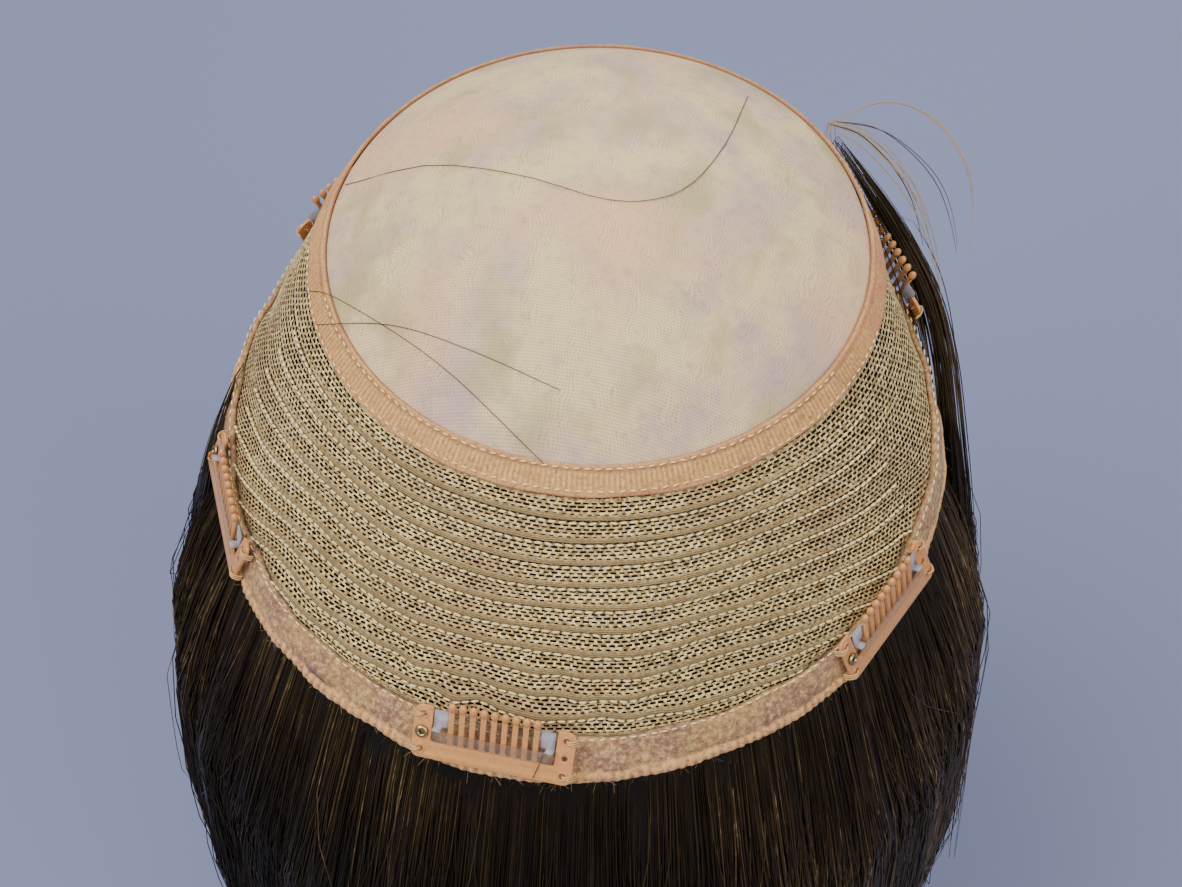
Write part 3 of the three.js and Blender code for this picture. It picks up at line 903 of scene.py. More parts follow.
def make_ring_tape(settings):
    """The ribbed tape round the silk's edge."""
    radius = CROWN_RADIUS + RING_TAPE_WIDTH / 2
    ribs = round(TURN * radius / settings.rib_pitch)
    angle = np.linspace(0, TURN, 4 * ribs, endpoint=False)[:, None]
    along, lift = rounded_edge(
        0, RING_TAPE_WIDTH, SEAM_GAP + TAPE_WALL - settings.rib_height, SEAM_GAP, 0.5 * MM, 9
    )
    along, lift = along[None, :], lift[None, :]
    on_top = smooth(lift, SEAM_GAP, SEAM_GAP + 0.8 * TAPE_WALL)
    middle = smooth(along, 0.9 * MM, 1.7 * MM) * smooth(along, RING_TAPE_WIDTH - 0.8 * MM, 4.6 * MM)
    ribbed = smooth(np.cos(angle), 0.0, 0.5)
    flat = cap_point(angle, along)
    uneven = 0.75 + 0.25 * wander(flat, 3 * MM, 21)
    rib = rib_wave(angle, radius, settings.rib_pitch) * middle * ribbed * np.clip(uneven, 0, 1)
    edge = 0.22 * MM * wander(flat, 14 * MM, 22) * smooth(along, 0, RING_TAPE_WIDTH)
    # The seam line dips into a groove and carries a painted shadow
    seam = smooth(along, 0.3 * MM, 0.8 * MM) * smooth(along, 1.5 * MM, 1.0 * MM) * on_top
    lift = lift + on_top * (settings.rib_height * rib + 0.07 * MM * wander(flat, 5 * MM, 23))
    points = cap_point(angle, along + edge, lift - 0.2 * MM * seam)
    # Painted shade also on the walls and underside, below the tape's face
    seam = np.maximum(seam * (0.35 + 0.45 * ribbed), (1 - on_top) * 0.8)
    # middle carries the painted shade of the ribbed part; rib carries the ribs' height and their
    # painted highlight
    mesh = grid_mesh("ring_band", points, rib=rib, middle=0.8 * middle * ribbed, seam=seam)
    mesh = merged(mesh)
    return dress(shown("ring_band", mesh, tape_finish(settings)), "tape", "ring_tape")


def make_hem_tape(settings):
    """The velvet tape that binds the hem, with its rolled lower edge and the return inside."""
    angle = np.linspace(0, TURN, HEM_COLUMNS, endpoint=False)[:, None]
    hem = skirt_length(angle)
    top = hem_tape_top(angle)
    turn_up = hem - np.minimum(HEM_RETURN, (hem - SILK_FLANGE) / 2)
    face = SEAM_GAP + TAPE_WALL
    back = -SEAM_GAP - TAPE_WALL
    outline = [
        (top, SEAM_GAP, 0),
        (top, face - 0.4 * MM, 0),
        (top + 0.35 * MM, face - 0.08 * MM, 0),
        *((top + (hem - 1.9 * MM - top) * share, face - 0.05 * MM, 0) for share in (0.15, 0.4, 0.7, 1)),
        (hem - 1.6 * MM, face - 0.2 * MM, 0.4),
        (hem - 1.2 * MM, face + 0.05 * MM, 1),
        (hem - 0.4 * MM, face + 0.2 * MM, 1),
        (hem + 0.5 * MM, face - 0.05 * MM, 1),
        (hem + 1.05 * MM, face - 0.8 * MM, 1),
        (hem + TAPE_WALL, -0.6 * MM, 0.8),
        (hem + 0.9 * MM, back - 0.7 * MM, 0.3),
        (hem + 0.2 * MM, back - TAPE_WALL, 0),
        (turn_up, back - TAPE_WALL, 0),
        (turn_up, back, 0),
        (hem, back, 0),
        (hem, SEAM_GAP, 0),
    ]
    along = np.concatenate([place + 0 * angle for place, _, _ in outline], axis=1)
    lift = np.array([[up for _, up, _ in outline]])
    fold = np.array([[share for _, _, share in outline]])
    flat = cap_point(angle, along)
    slant = angle + 0.004 * fold
    near_back = smooth(np.cos(angle), 0.15, 0.6)
    wraps = rib_wave(slant, HEM_RADIUS, settings.wrap_pitch) * near_back * (fold > 0.5)
    outside = lift > 0
    nap = 0.12 * MM * wander(flat, 2.4 * MM, 31) + 0.16 * MM * wander(flat, 8 * MM, 32)
    nap = nap * (0.35 + 0.65 * near_back)
    ribs = 0.14 * MM * rib_wave(angle, HEM_RADIUS, settings.plush_pitch) * near_back * (fold < 0.1)
    lift = lift + slack(angle, along) + np.where(outside, 0.28 * MM * wraps + ribs + nap - 0.22 * MM, 0)
    along = along + 0.35 * MM * wander(flat, 17 * MM, 33) * (outside & (fold < 0.1))
    paler = fold * (0.9 - 0.65 * near_back * (1 - wraps))
    mesh = grid_mesh("hem_band", cap_point(angle, along, lift), fold=paler)
    return dress(shown("hem_band", merged(mesh), hem_finish(settings)), "tape", "hem_tape")


def tucked(angle):
    """1 where the net is stitched into tucks, 0 towards the temples, where it lies flat."""
    return smooth(off_centre(angle), *TUCKS_FADE)


def net_run(angle, share):
    """How far along the skirt a share of the net's rows lies: the rows open up towards the
    temples, and those that don't fit there run out under the hem tape."""
    widest = hem_tape_top(np.zeros(1))[0] - RING_TAPE_WIDTH
    opened = 1 + NET_OPENING * smooth(off_centre(angle), *NET_OPENS)
    return RING_TAPE_WIDTH + share * widest * opened


def net_sway(angle, along):
    """How the rows wander up and down, most near the back comb."""
    points = cap_point(angle, along)
    reach = smooth(along, 8 * MM, 52 * MM)
    pucker = smooth(np.abs(angle), math.radians(34), math.radians(4)) * smooth(along, 30 * MM, 54 * MM)
    broad = (0.25 + 0.75 * reach) * 0.5 * MM * wander(points, 26 * MM, 41)
    sway = broad + pucker * 0.65 * MM * wander(points, 10 * MM, 42)
    return sway * smooth(hem_tape_top(angle) - along, 0, 4 * MM)


def net_lift(angle, along, rise):
    """The lift of the net with a tuck's rise, which sinks under the two tapes."""
    below_ring = smooth(along, RING_TAPE_WIDTH, RING_TAPE_WIDTH + 1.2 * MM)
    above_hem = smooth(along, hem_tape_top(angle), hem_tape_top(angle) - 1.4 * MM)
    tucks = rise * tucked(angle)
    return slack(angle, along) + np.minimum(below_ring, above_hem) * tucks - 0.1 * MM


def net_band(settings, band):
    """One band of the net, from under a tuck to the crest of the next, as a lattice of bricks:
    its points, faces and the numbers that its faces and points carry."""
    pitch = 1 / (TUCK_COUNT + 1)
    first = band * pitch
    spread = np.linspace(-math.pi, math.pi, 721)
    halfway = np.minimum(net_run(spread, first + pitch / 2), hem_tape_top(spread))
    middle = cap_point(spread, halfway)
    steps = np.linalg.norm(np.diff(middle, axis=0), axis=1)
    run = np.concatenate([[0], np.cumsum(steps)])
    bricks = round(run[-1] / settings.hole_pitch)
    places = np.interp(np.arange(2 * bricks) / (2 * bricks) * run[-1], run, spread)[:, None]

    fade = tucked(places)
    tucked_rows = np.array([[0, 0.165, 0.33, 0.495, 0.66, 0.81, 0.91, 1]])
    flat_rows = np.array([[0, 0.165, 0.33, 0.495, 0.66, 0.825, 0.98, 1]])
    rises = np.array([[0, 0, 0.02, 0.08, 0.25, 0.6, 0.95, 1]]) * settings.tuck_height
    rows = flat_rows + (tucked_rows - flat_rows) * fade
    along = net_run(places, first + pitch * rows)
    under = np.where(np.arange(rows.shape[1]) == 0, fade * 0.55 * MM, 0)
    if band == 0:
        under = np.where(np.arange(rows.shape[1]) == 0, 1.6 * MM, 0)
    along = along - under
    if band == TUCK_COUNT:
        along = along + np.where(np.arange(rows.shape[1]) == rows.shape[1] - 1, 1.5 * MM, 0)
    swayed = along + net_sway(places, along)
    swayed = np.minimum(swayed, hem_tape_top(places) + 4 * MM)
    points = cap_point(places, swayed, net_lift(places, along, rises))
    # Painted shade under each fold on the band's first row, and on the crest rows, where the dense
    # thread lies too
    crease = np.array([[0.9, 0.1, 0, 0, 0, 0.7, 1.0, 1.0]]) * fade

    per_row = rows.shape[1]
    faces, opens, centres = [], [], []
    for row in range(per_row - 1):
        half = 2 * np.arange(bricks) + row % 2
        corners = [(half + step) % (2 * bricks) for step in (0, 1, 2)]
        left = (half + 1) % (2 * bricks)
        kept = along[left, row] < hem_tape_top(places[left, 0]) + 1.6 * MM
        top = [corner * per_row + row for corner in corners]
        bottom = [corner * per_row + row + 1 for corner in corners]
        bricks_here = np.stack([top[0], bottom[0], bottom[1], bottom[2], top[2], top[1]], axis=-1)
        here = fade[left, 0]
        share = {4: 1.08 - 0.38 * here, 5: 1 - here, 6: 0 * here}.get(row, 1.08 - 0.08 * here)
        faces.append(bricks_here[kept])
        opens.append(share[kept])
        centres.append(np.stack([places[left, 0], along[left, row]], axis=-1)[kept])
    marks = {"crease": np.broadcast_to(crease, rows.shape).ravel(), "down": along.ravel()}
    return (
        points.reshape(-1, 3),
        np.concatenate(faces),
        np.concatenate(opens),
        np.concatenate(centres),
        marks,
    )


def make_net(settings):
    """The net skirt, whose holes are cut through it."""
    points, faces, opens, centres, marks = zip(
        *(net_band(settings, band) for band in range(TUCK_COUNT + 1))
    )
    starts = np.concatenate([[0], np.cumsum([len(spots) for spots in points])])
    places = np.concatenate(centres)
    rng = np.random.default_rng(7)
    opens = np.concatenate(opens) * rng.uniform(0.78, 1.08, len(places))
    faces = np.concatenate([bricks + start for bricks, start in zip(faces, starts)])
    mesh = bpy.data.meshes.new("net_cloth")
    mesh.from_pydata(np.concatenate(points).tolist(), [], faces.tolist())
    for name in marks[0]:
        store(mesh, name, np.concatenate([mark[name] for mark in marks]))
    store(mesh, "open", opens, domain="FACE")
    step = 0.5 * MM
    round_axis = cap_point(places[:, 0] + step, places[:, 1]) - cap_point(places[:, 0], places[:, 1])
    down_axis = cap_point(places[:, 0], places[:, 1] + step) - cap_point(places[:, 0], places[:, 1])
    for name, axis in (("round_axis", round_axis), ("down_axis", down_axis)):
        unit = axis / np.linalg.norm(axis, axis=1, keepdims=True)
        store(mesh, name, unit, "FLOAT_VECTOR", "FACE")
    with edited(mesh) as work:
        loose = [vert for vert in work.verts if not vert.link_faces]
        bmesh.ops.delete(work, geom=loose, context="VERTS")
    piece = realised(
        "net_cloth",
        mesh,
        net_tree(),
        hole_width=settings.hole_width,
        hole_height=settings.hole_height,
        thread_depth=settings.thread_depth,
        material=net_finish(settings),
    )
    return dress(piece, "net", "net_skirt")


def cap_lines(angles, alongs, lift):
    """Lines on the cap with their outward directions, from (line, point) arrays."""
    return cap_point(angles, alongs, lift), cap_outward(angles, alongs)


def make_stitches(settings):
    """The chain stitches on the tucks and the seams of the two tapes."""
    tree = stitch_tree()
    thread = thread_finish("cream_thread", settings.colour)
    pale = thread_finish("tape_thread", settings.tape_colour)
    steps = 600
    made = []

    reach = math.radians(74)
    angles = np.broadcast_to(np.linspace(-reach, reach, steps), (TUCK_COUNT, steps))
    share = (np.arange(TUCK_COUNT)[:, None] + 1) / (TUCK_COUNT + 1)
    alongs = net_run(angles, share)
    lift = net_lift(angles, alongs, 0.0) + 0.6 * MM
    alongs = alongs + net_sway(angles, alongs) + 0.55 * MM
    clear = (alongs < hem_tape_top(angles) - 0.4 * MM) & (tucked(angles) > 0.04)
    for tuck in range(TUCK_COUNT):
        keep = clear[tuck]
        if keep.sum() < 2:
            continue
        points, outward = cap_lines(angles[tuck][keep], alongs[tuck][keep], lift[tuck][keep])
        mesh = line_mesh(f"tuck_line_{tuck}", points[None], outward=outward[None])
        made.append((mesh, thread, f"tuck_stitches_{tuck + 1:02}", settings.length, settings.width))

    ring = np.linspace(-math.pi, math.pi, 2 * steps)
    ring_back = ring * 0.44
    face = SEAM_GAP + TAPE_WALL
    hem_top = hem_tape_top(ring)
    seams = {
        "ring_seam_inner": (ring_back * 0.8, 0.8 * MM, face - 0.05 * MM),
        "ring_seam_outer": (ring_back, RING_TAPE_WIDTH - 1.15 * MM, face + 0.1 * MM),
        "hem_seam": (ring, hem_top + 0.1 * MM, face - 0.1 * MM + slack(ring, hem_top)),
    }
    for name, (places, along, lift) in seams.items():
        points, outward = cap_lines(places, along, lift)
        mesh = line_mesh(name, points[None], outward=outward[None])
        made.append((mesh, pale, name, settings.length * 0.8, settings.width * 0.62))

    pieces = []
    for seed, (mesh, material, name, length, width) in enumerate(made):
        piece = realised(
            name,
            mesh,
            tree,
            pitch=length * 1.35 if material is pale else length * 1.02,
            length=length,
            width=width,
            skew=math.radians(13),
            seed=seed,
            material=material,
        )
        pieces.append(dress(piece, "net" if material is thread else "tape"))
    return pieces


# The combs


def comb_frame(degrees):
    """The matrix that lays a comb on the hem tape at an angle round the cap."""
    angle = math.radians(degrees)
    lift = SEAM_GAP + TAPE_WALL + SEAM_GAP
    above = COMB_HEIGHT / 2 + COMB_ABOVE_HEM
    nudge = math.radians(1)

    def seat(at, over):
        return Vector(cap_point(at, skirt_length(at) - over, lift))

    along = (seat(angle + nudge, above) - seat(angle - nudge, above)).normalized()
    up = seat(angle, above + MM) - seat(angle, above)
    outward = along.cross(up).normalized()
    upright = outward.cross(along)
    turn = Matrix((along, upright, outward)).transposed().to_4x4()
    return Matrix.Translation(seat(angle, above) - upright * (COMB_HEIGHT / 2)) @ turn


def arc(x, y, radius, start, end, steps):
    """Points on an arc, its angles in quarter turns."""
    turns = np.linspace(start, end, steps) * math.pi / 2
    return [(x + radius * math.cos(turn), y + radius * math.sin(turn)) for turn in turns]


def comb_outline():
    """The stamped plate's outline, with round slot bottoms between its teeth."""
    end = COMB_LENGTH / 2
    inner = end - COMB_LUG
    corner = COMB_CORNER
    outline = arc(end - corner, corner, corner, -1, 0, 6)
    outline += arc(end - corner, COMB_HEIGHT - corner, corner, 0, 1, 6)
    outline += [(inner + 0.3 * MM, COMB_HEIGHT), (inner, COMB_HEIGHT - 0.3 * MM)]
    edges = [inner]
    for centre in reversed(TOOTH_PLACES):
        edges += [centre + TOOTH_WIDTH / 2, centre - TOOTH_WIDTH / 2]
    edges.append(-inner)
    for slot in range(0, len(edges), 2):
        right, left = edges[slot], edges[slot + 1]
        radius = min((right - left) / 2, TOOTH_WIDTH / 2)
        outline += arc(right - radius, COMB_BAR + radius, radius, 0, -1, 4)
        outline += arc(left + radius, COMB_BAR + radius, radius, -1, -2, 4)
        if slot + 2 < len(edges):
            outline += [(left, TOOTH_REACH), (edges[slot + 2], TOOTH_REACH)]
    outline += [(-inner, COMB_HEIGHT - 0.3 * MM), (-inner - 0.3 * MM, COMB_HEIGHT)]
    outline += arc(-end + corner, COMB_HEIGHT - corner, corner, 1, 2, 6)
    outline += arc(-end + corner, corner, corner, 2, 3, 6)
    return outline


def comb_plate():
    """The plate as a mesh, with pressed holes, softened edges and leaning teeth."""
    bevel = 0.14
    curve = bpy.data.curves.new("comb_outline", "CURVE")
    curve.dimensions = "2D"
    curve.fill_mode = "BOTH"
    curve.extrude = COMB_WALL / MM / 2 - bevel
    curve.bevel_depth = bevel
    curve.bevel_resolution = 1
    curve.offset = -bevel
    outlines = [comb_outline()]
    for side in (-1, 1):
        for height in HOLE_HEIGHTS:
            eyelet = side < 0 and height == HOLE_HEIGHTS[1]
            radius = EYELET_HOLE if eyelet else SEWING_HOLE
            outlines.append(arc(side * LUG_CENTRE, height, radius, 0, 3.7, 13))
    for outline in outlines:
        spline = curve.splines.new("POLY")
        spline.points.add(len(outline) - 1)
        for point, (x, y) in zip(spline.points, outline):
            point.co = (x / MM, y / MM, 0, 1)
        spline.use_cyclic_u = True
    flat = bpy.data.objects.new("comb_outline", curve)
    bpy.context.scene.collection.objects.link(flat)
    graph = bpy.context.evaluated_depsgraph_get()
    mesh = bpy.data.meshes.new_from_object(flat.evaluated_get(graph))
    bpy.data.objects.remove(flat)
    work = bmesh.new()
    work.from_mesh(mesh)
    bmesh.ops.scale(work, vec=(MM, MM, MM), verts=work.verts)
    bmesh.ops.translate(work, vec=(0, 0, COMB_WALL / 2), verts=work.verts)
    for x in TOOTH_PLACES:
        place = Matrix.Translation((x, TOOTH_REACH, COMB_WALL / 2))
        place @= Matrix.Diagonal((1, BALL_STRETCH, 1, 1)) @ Matrix.Rotation(math.pi / 2, 4, "X")
        bmesh.ops.create_uvsphere(
            work, u_segments=14, v_segments=9, radius=BALL_RADIUS, matrix=place
        )
    for x, y in [(1, 0), (1, 2), (-1, 0), (-1, 2)]:
        add_ring(work, (x * LUG_CENTRE, HOLE_HEIGHTS[y], COMB_WALL), 0.86 * MM, 0.2 * MM)
    lean_out(work.verts)
    mesh.clear_geometry()
    work.to_mesh(mesh)
    work.free()
    return merged(mesh, 0.002 * MM)


def lean_out(verts):
    """Leans what stands between the lugs away from the cap, above the comb's bar."""
    inner = COMB_LENGTH / 2 - COMB_LUG - SEAM_GAP / 2
    for vert in verts:
        if abs(vert.co.x) < inner:
            vert.co.z += max(vert.co.y - COMB_BAR, 0) * TOOTH_LEAN


def add_ring(work, centre, radius, thickness, steps=16, sides=6):
    """Adds a small round rim to a mesh that is being built."""
    ring = []
    for step in range(steps):
        turn = TURN * step / steps
        for side in range(sides):
            tilt = TURN * side / sides
            reach = radius + thickness * math.cos(tilt)
            height = thickness * math.sin(tilt)
            spot = (reach * math.cos(turn), reach * math.sin(turn), height)
            ring.append(work.verts.new(Vector(centre) + Vector(spot)))
    for step in range(steps):
        for side in range(sides):
            ahead, over = (step + 1) % steps, (side + 1) % sides
            corners = ((step, side), (ahead, side), (ahead, over), (step, over))
            work.faces.new([ring[a * sides + b] for a, b in corners])


def eyelet_mesh():
    """A pressed eyelet: a barrel through the lug under a rounded flange."""
    seat = (COMB_WALL + SEAM_GAP) / MM
    section = [(radius, height + on_face * seat) for radius, height, on_face in EYELET_SECTION]
    steps = 24
    turns = np.linspace(0, TURN, steps, endpoint=False)[:, None]
    radius, height = (np.array([list(column)]) * MM for column in zip(*section))
    points = np.stack([radius * np.cos(turns), radius * np.sin(turns), height + 0 * turns], axis=-1)
    mesh = grid_mesh("eyelet", points)
    mesh.transform(Matrix.Translation((-LUG_CENTRE, HOLE_HEIGHTS[1], 0)))
    return merged(mesh)


def film_mesh(name):
    """The silicone strip woven through the teeth, with its edges rounded off."""
    mesh = merged(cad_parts[f"comb_grip_{name}"].data.copy())
    with edited(mesh) as work:
        bmesh.ops.dissolve_limit(
            work, angle_limit=math.radians(2), verts=work.verts, edges=work.edges
        )
        sharp = [e for e in work.edges if len(e.link_faces) == 2 and e.calc_face_angle(0) > 0.5]
        bmesh.ops.bevel(
            work, geom=sharp, offset=FILM_EDGE, segments=2, affect="EDGES", clamp_overlap=True
        )
        bmesh.ops.triangulate(work, faces=[face for face in work.faces if len(face.verts) > 4])
    flat = comb_frame(COMB_ANGLES[name]).inverted()
    places = [(flat @ vert.co) / MM for vert in mesh.vertices]
    store(mesh, "flat_x", [place.x for place in places])
    store(mesh, "flat_y", [place.y for place in places])
    return mesh


def comb_threads():
    """The thread loops that hold a comb's lugs, on the comb as it lies flat: (line, point, 3)."""
    loops = []
    for side in (-1, 1):
        for hole in (HOLE_HEIGHTS[0], HOLE_HEIGHTS[2]):
            for strand in (-1, 0, 1):
                spread = strand * 0.3 * MM
                x = side * LUG_CENTRE
                out = side * COMB_LUG
                loops.append(
                    curve_through(
                        [
                            (x, hole, -0.7 * MM),
                            (x + 0.02 * out, hole + spread / 3, 0.8 * MM),
                            (x + 0.2 * out, hole + spread, (1.3 + 0.1 * strand) * MM),
                            (x + 0.46 * out, hole + 1.6 * spread, 1.0 * MM),
                            (x + 0.6 * out, hole + 2.0 * spread, 0.1 * MM),
                            (x + 0.62 * out, hole + 2.2 * spread, -0.9 * MM),
                        ],
                        4,
                    )
                )
    return np.array(loops)


def make_combs(settings):
    """The five snap combs with their silicone strips, eyelets and sewing threads."""
    lacquer = lacquer_finish(settings)
    film = film_finish(settings)
    brass = brass_finish()
    thread = thread_finish("sewing_thread", settings.thread)
    plate, eyelet, tubes, loops = comb_plate(), eyelet_mesh(), tube_tree(), comb_threads()
    for name, degrees in COMB_ANGLES.items():
        laid = comb_frame(degrees)
        plate_here = plate.copy()
        plate_here.transform(laid)
        dress(shown(f"comb_plate_{name}", plate_here, lacquer), "comb", f"comb_{name}")
        eyelet_here = eyelet.copy()
        eyelet_here.transform(laid)
        dress(shown(f"eyelet_ring_{name}", eyelet_here, brass), "eyelet", f"comb_eyelet_{name}")
        dress(shown(f"comb_film_{name}", film_mesh(name), film), "grip", f"comb_grip_{name}")
        lines = loops @ np.array(laid.to_3x3()).T + np.array(laid.translation)
        width = np.full(lines.shape[:2], THREAD_RADIUS)
        mesh = line_mesh(f"comb_threads_{name}", lines, thickness=width)
        piece = realised(f"comb_threads_{name}", mesh, tubes, sides=6, material=thread)
        dress(piece, "comb")


# The hair


def lock_place(sector, across, down, widths=LOCK_WIDTH, groove_end=GROOVE_END):
    """Angle, reach from the axis, height and depth on the hair below the hem. across counts locks
    from the sector's start, and down runs from 0 at the hem to 1 at the tip of each lock."""
    start, end, locks = sector
    lock = np.clip(np.floor(across), 0, locks - 1)
    side = across - lock - 0.5
    groove = np.abs(2 * side) ** 1.5
    uneven = 1 - TIP_UNEVENNESS * np.abs(np.sin(GOLDEN_TURN * (lock + locks)))
    fallen = down * uneven * (1 + (groove_end - 1) * groove)
    width = np.interp(down, LOCK_FALL, widths)
    fullness = np.interp(down, LOCK_FALL, LOCK_FULLNESS)
    spot = lock + 0.5 + side * width
    angle = np.radians(start + (end - start) * spot / locks)
    hem = skirt_length(angle)
    exit_point = cap_point(angle, hem + TAPE_WALL + SEAM_GAP, HAIR_LIFT)
    reach = np.linalg.norm(exit_point[..., :2], axis=-1)
    reach = reach + np.interp(fallen, SWELL_FALL, SWELL_OUT) * HAIR_SWELL
    reach = reach - LOCK_GROOVE * groove * fullness * smooth(fallen, 0, 0.1)
    bottom = CROWN_TOP - HAIR_FALL
    height = exit_point[..., 2] + (bottom - exit_point[..., 2]) * fallen
    depth = TIP_DEPTH + (LOCK_DEPTH - TIP_DEPTH) * fullness
    return angle, reach, height, depth


def lock_shell(name, sector):
    """The hair of one sector: a lining inside the skirt that falls below the hem in locks."""
    start, end, locks = sector
    columns = 12 * locks + 1
    across = np.linspace(1e-4, locks - 1e-4, columns)[:, None]
    edge = smooth(np.minimum(across, locks - across), 0, 0.3)
    angle = np.radians(start + (end - start) * across / locks)
    hem = skirt_length(angle)
    lined = np.linspace(0, 1, 6)[None, :]
    along = SILK_FLANGE + (hem + TAPE_WALL - SILK_FLANGE) * lined
    fall = np.linspace(0, 1, 30)[None, :] ** 1.1
    below, reach, height, depth = lock_place(sector, across + 0 * fall, fall + 0 * across)
    streaks = wander(np.stack([below * 80 * MM, 0 * below, height * 0.05], axis=-1), 5 * MM, 51)
    proud = 0.5 * MM * streaks * smooth(fall, 0, 0.1)

    def side(inner):
        wall = edge * depth if inner else 0 * depth
        lining = cap_point(angle, along, HAIR_LIFT - (edge * LOCK_DEPTH / 2 if inner else 0))
        out = reach - wall + (0 if inner else proud)
        hanging = np.stack([out * np.sin(below), -out * np.cos(below), height], axis=-1)
        return np.concatenate([lining, hanging], axis=1)

    points = np.concatenate([side(False), side(True)[:, ::-1]], axis=1)
    return merged(grid_mesh(name, points, all_round=False))


def strand_lines(sector, count, rng, proud, loose):
    """Strands over the locks of one sector: their points and how far down each point is."""
    locks = sector[2]
    across = rng.uniform(0.01, locks - 0.01, count)[:, None]
    lock = np.floor(across)
    down = np.linspace(0, 1, STRAND_STEPS)[None, :] ** 1.15
    length = 1 - 0.3 * rng.uniform(0, 1, count)[:, None] ** 1.6
    drift = rng.normal(0, 0.22, count)[:, None] * loose
    bend = rng.normal(0, 0.16, count)[:, None] * loose
    moved = across + (drift * down + bend * np.sin(math.pi * down)) * smooth(down, 0, 0.5)
    clump = 1 - 0.12 * smooth(down, 0.3, 1)
    centre = lock + 0.5
    moved = centre + (moved - centre) * clump
    moved = np.clip(moved, 0.002, locks - 0.002)
    angle, reach, height, _ = lock_place(sector, moved, down * length, STRAND_WIDTH, STRAND_END)
    swing = np.stack(np.broadcast_arrays(across, 3 * lock, 2.2 * down), axis=-1)
    sideways = 1.6 * MM / reach * wander(swing, 1.1, 61)
    angle = angle + sideways * smooth(down, 0.05, 0.4)
    wave = rng.uniform(0, TURN, (count, 1))
    stand = rng.uniform(0.1, 1, (count, 1)) * proud * smooth(down, 0, 0.12)
    stand = stand * (1 + 0.5 * np.sin(wave + 5 * down))
    hem = skirt_length(angle)
    inner = cap_point(angle, hem - 1.5 * MM, HAIR_LIFT)
    out = reach + stand
    points = np.stack([out * np.sin(angle), -out * np.cos(angle), height], axis=-1)
    points[:, 0] = inner[:, 0]
    return points, down + 0 * across


def make_hair(settings):
    """The hair: a shell of locks in each sector, with strands over it."""
    # Painted shade: the locks under the strands take the hair's finish darkened to 0.55
    body = hair_finish("hair_locks", settings, 0.55)
    strand = hair_finish("hair_strands", settings)
    tubes = tube_tree()
    total = sum(end - start for start, end, _ in HAIR_SECTORS.values())
    for seed, (name, sector) in enumerate(HAIR_SECTORS.items()):
        mesh = lock_shell(f"hair_locks_{name}", sector)
        store(mesh, "tone", np.zeros(len(mesh.vertices)))
        dress(shown(f"hair_locks_{name}", mesh, body), "hair", f"hair_{name}")
        rng = np.random.default_rng(settings.seed + seed)
        share = (sector[1] - sector[0]) / total
        lines, tones, widths = [], [], []
        for part, proud, loose in STRAND_PARTS:
            count = round(settings.strands * share * part)
            points, down = strand_lines(sector, count, rng, proud, loose)
            side = np.arctan2(points[..., 0], -points[..., 1])
            # Painted sheen: strands towards either side of the back are made paler, the right more than
            # the left
            paler = 0.34 * np.sin(np.clip(side, 0, 2)) ** 2 + 0.2 * np.sin(np.clip(side, -2, 0)) ** 2
            tone = rng.beta(1.7, 3.2, (count, 1)) + 0.08 * (loose > 1)
            # Painted highlight in soft patches: the tones swell and sink over about 46 mm
            sheen_patches = 0.86 + 0.26 * np.clip(wander(points, 46 * MM, 62), -1, 1)
            lines.append(points)
            tones.append(np.minimum((tone + paler + 0.1 * down) * sheen_patches, 0.8))
            taper = 1 - 0.5 * smooth(down, 0.75, 1)
            thin = 0.55 if loose > 1 else 1.0
            widths.append(settings.strand_width / 2 * thin * taper * rng.uniform(0.6, 1.3, (count, 1)))
        source = line_mesh(
            f"hair_strands_{name}",
            np.concatenate(lines),
            tone=np.concatenate(tones),
            thickness=np.concatenate(widths),
        )
        piece = realised(f"hair_strands_{name}", source, tubes, sides=3, material=strand)
        dress(piece, "hair")
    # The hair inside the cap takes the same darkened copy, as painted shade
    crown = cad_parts["hair_crown"]
    crown.data.materials.clear()
    crown.data.materials.append(body)


def photo_ray(pixel):
    """From the camera through a pixel of the photograph: its start and its direction for each
    unit of depth."""
    turn = bpy.context.scene.camera.matrix_world
    focal = CAMERA_LENS / CAMERA_SENSOR * PHOTO_SIZE[0]
    across = (pixel[0] - PHOTO_SIZE[0] / 2) / focal
    above = (PHOTO_SIZE[1] / 2 - pixel[1]) / focal
    return turn.translation, turn.to_3x3() @ Vector((across, above, -1))


def stray_hair_lines():
    """Single hairs that lie over the silk and the tapes where the photograph shows them."""
    names = ("silk_crown", "ring_band", "net_cloth", "hem_band", "comb_plate_back")
    under = [bpy.data.objects[name] for name in names]
    lines = []
    for path in STRAY_HAIRS.values():
        points = []
        for pixel in curve_through(path, 12):
            start, ray = photo_ray(pixel)
            hits = [piece.ray_cast(start, ray) for piece in under]
            hits = [(hit[1] - start).length for hit in hits if hit[0]]
            if hits:
                points.append(start + ray.normalized() * (min(hits) - 0.35 * MM))
        lines.append(np.array(points))
    most = min(len(line) for line in lines)
    kept = [np.linspace(0, len(line) - 1, most).astype(int) for line in lines]
    return np.array([line[keep] for line, keep in zip(lines, kept)])


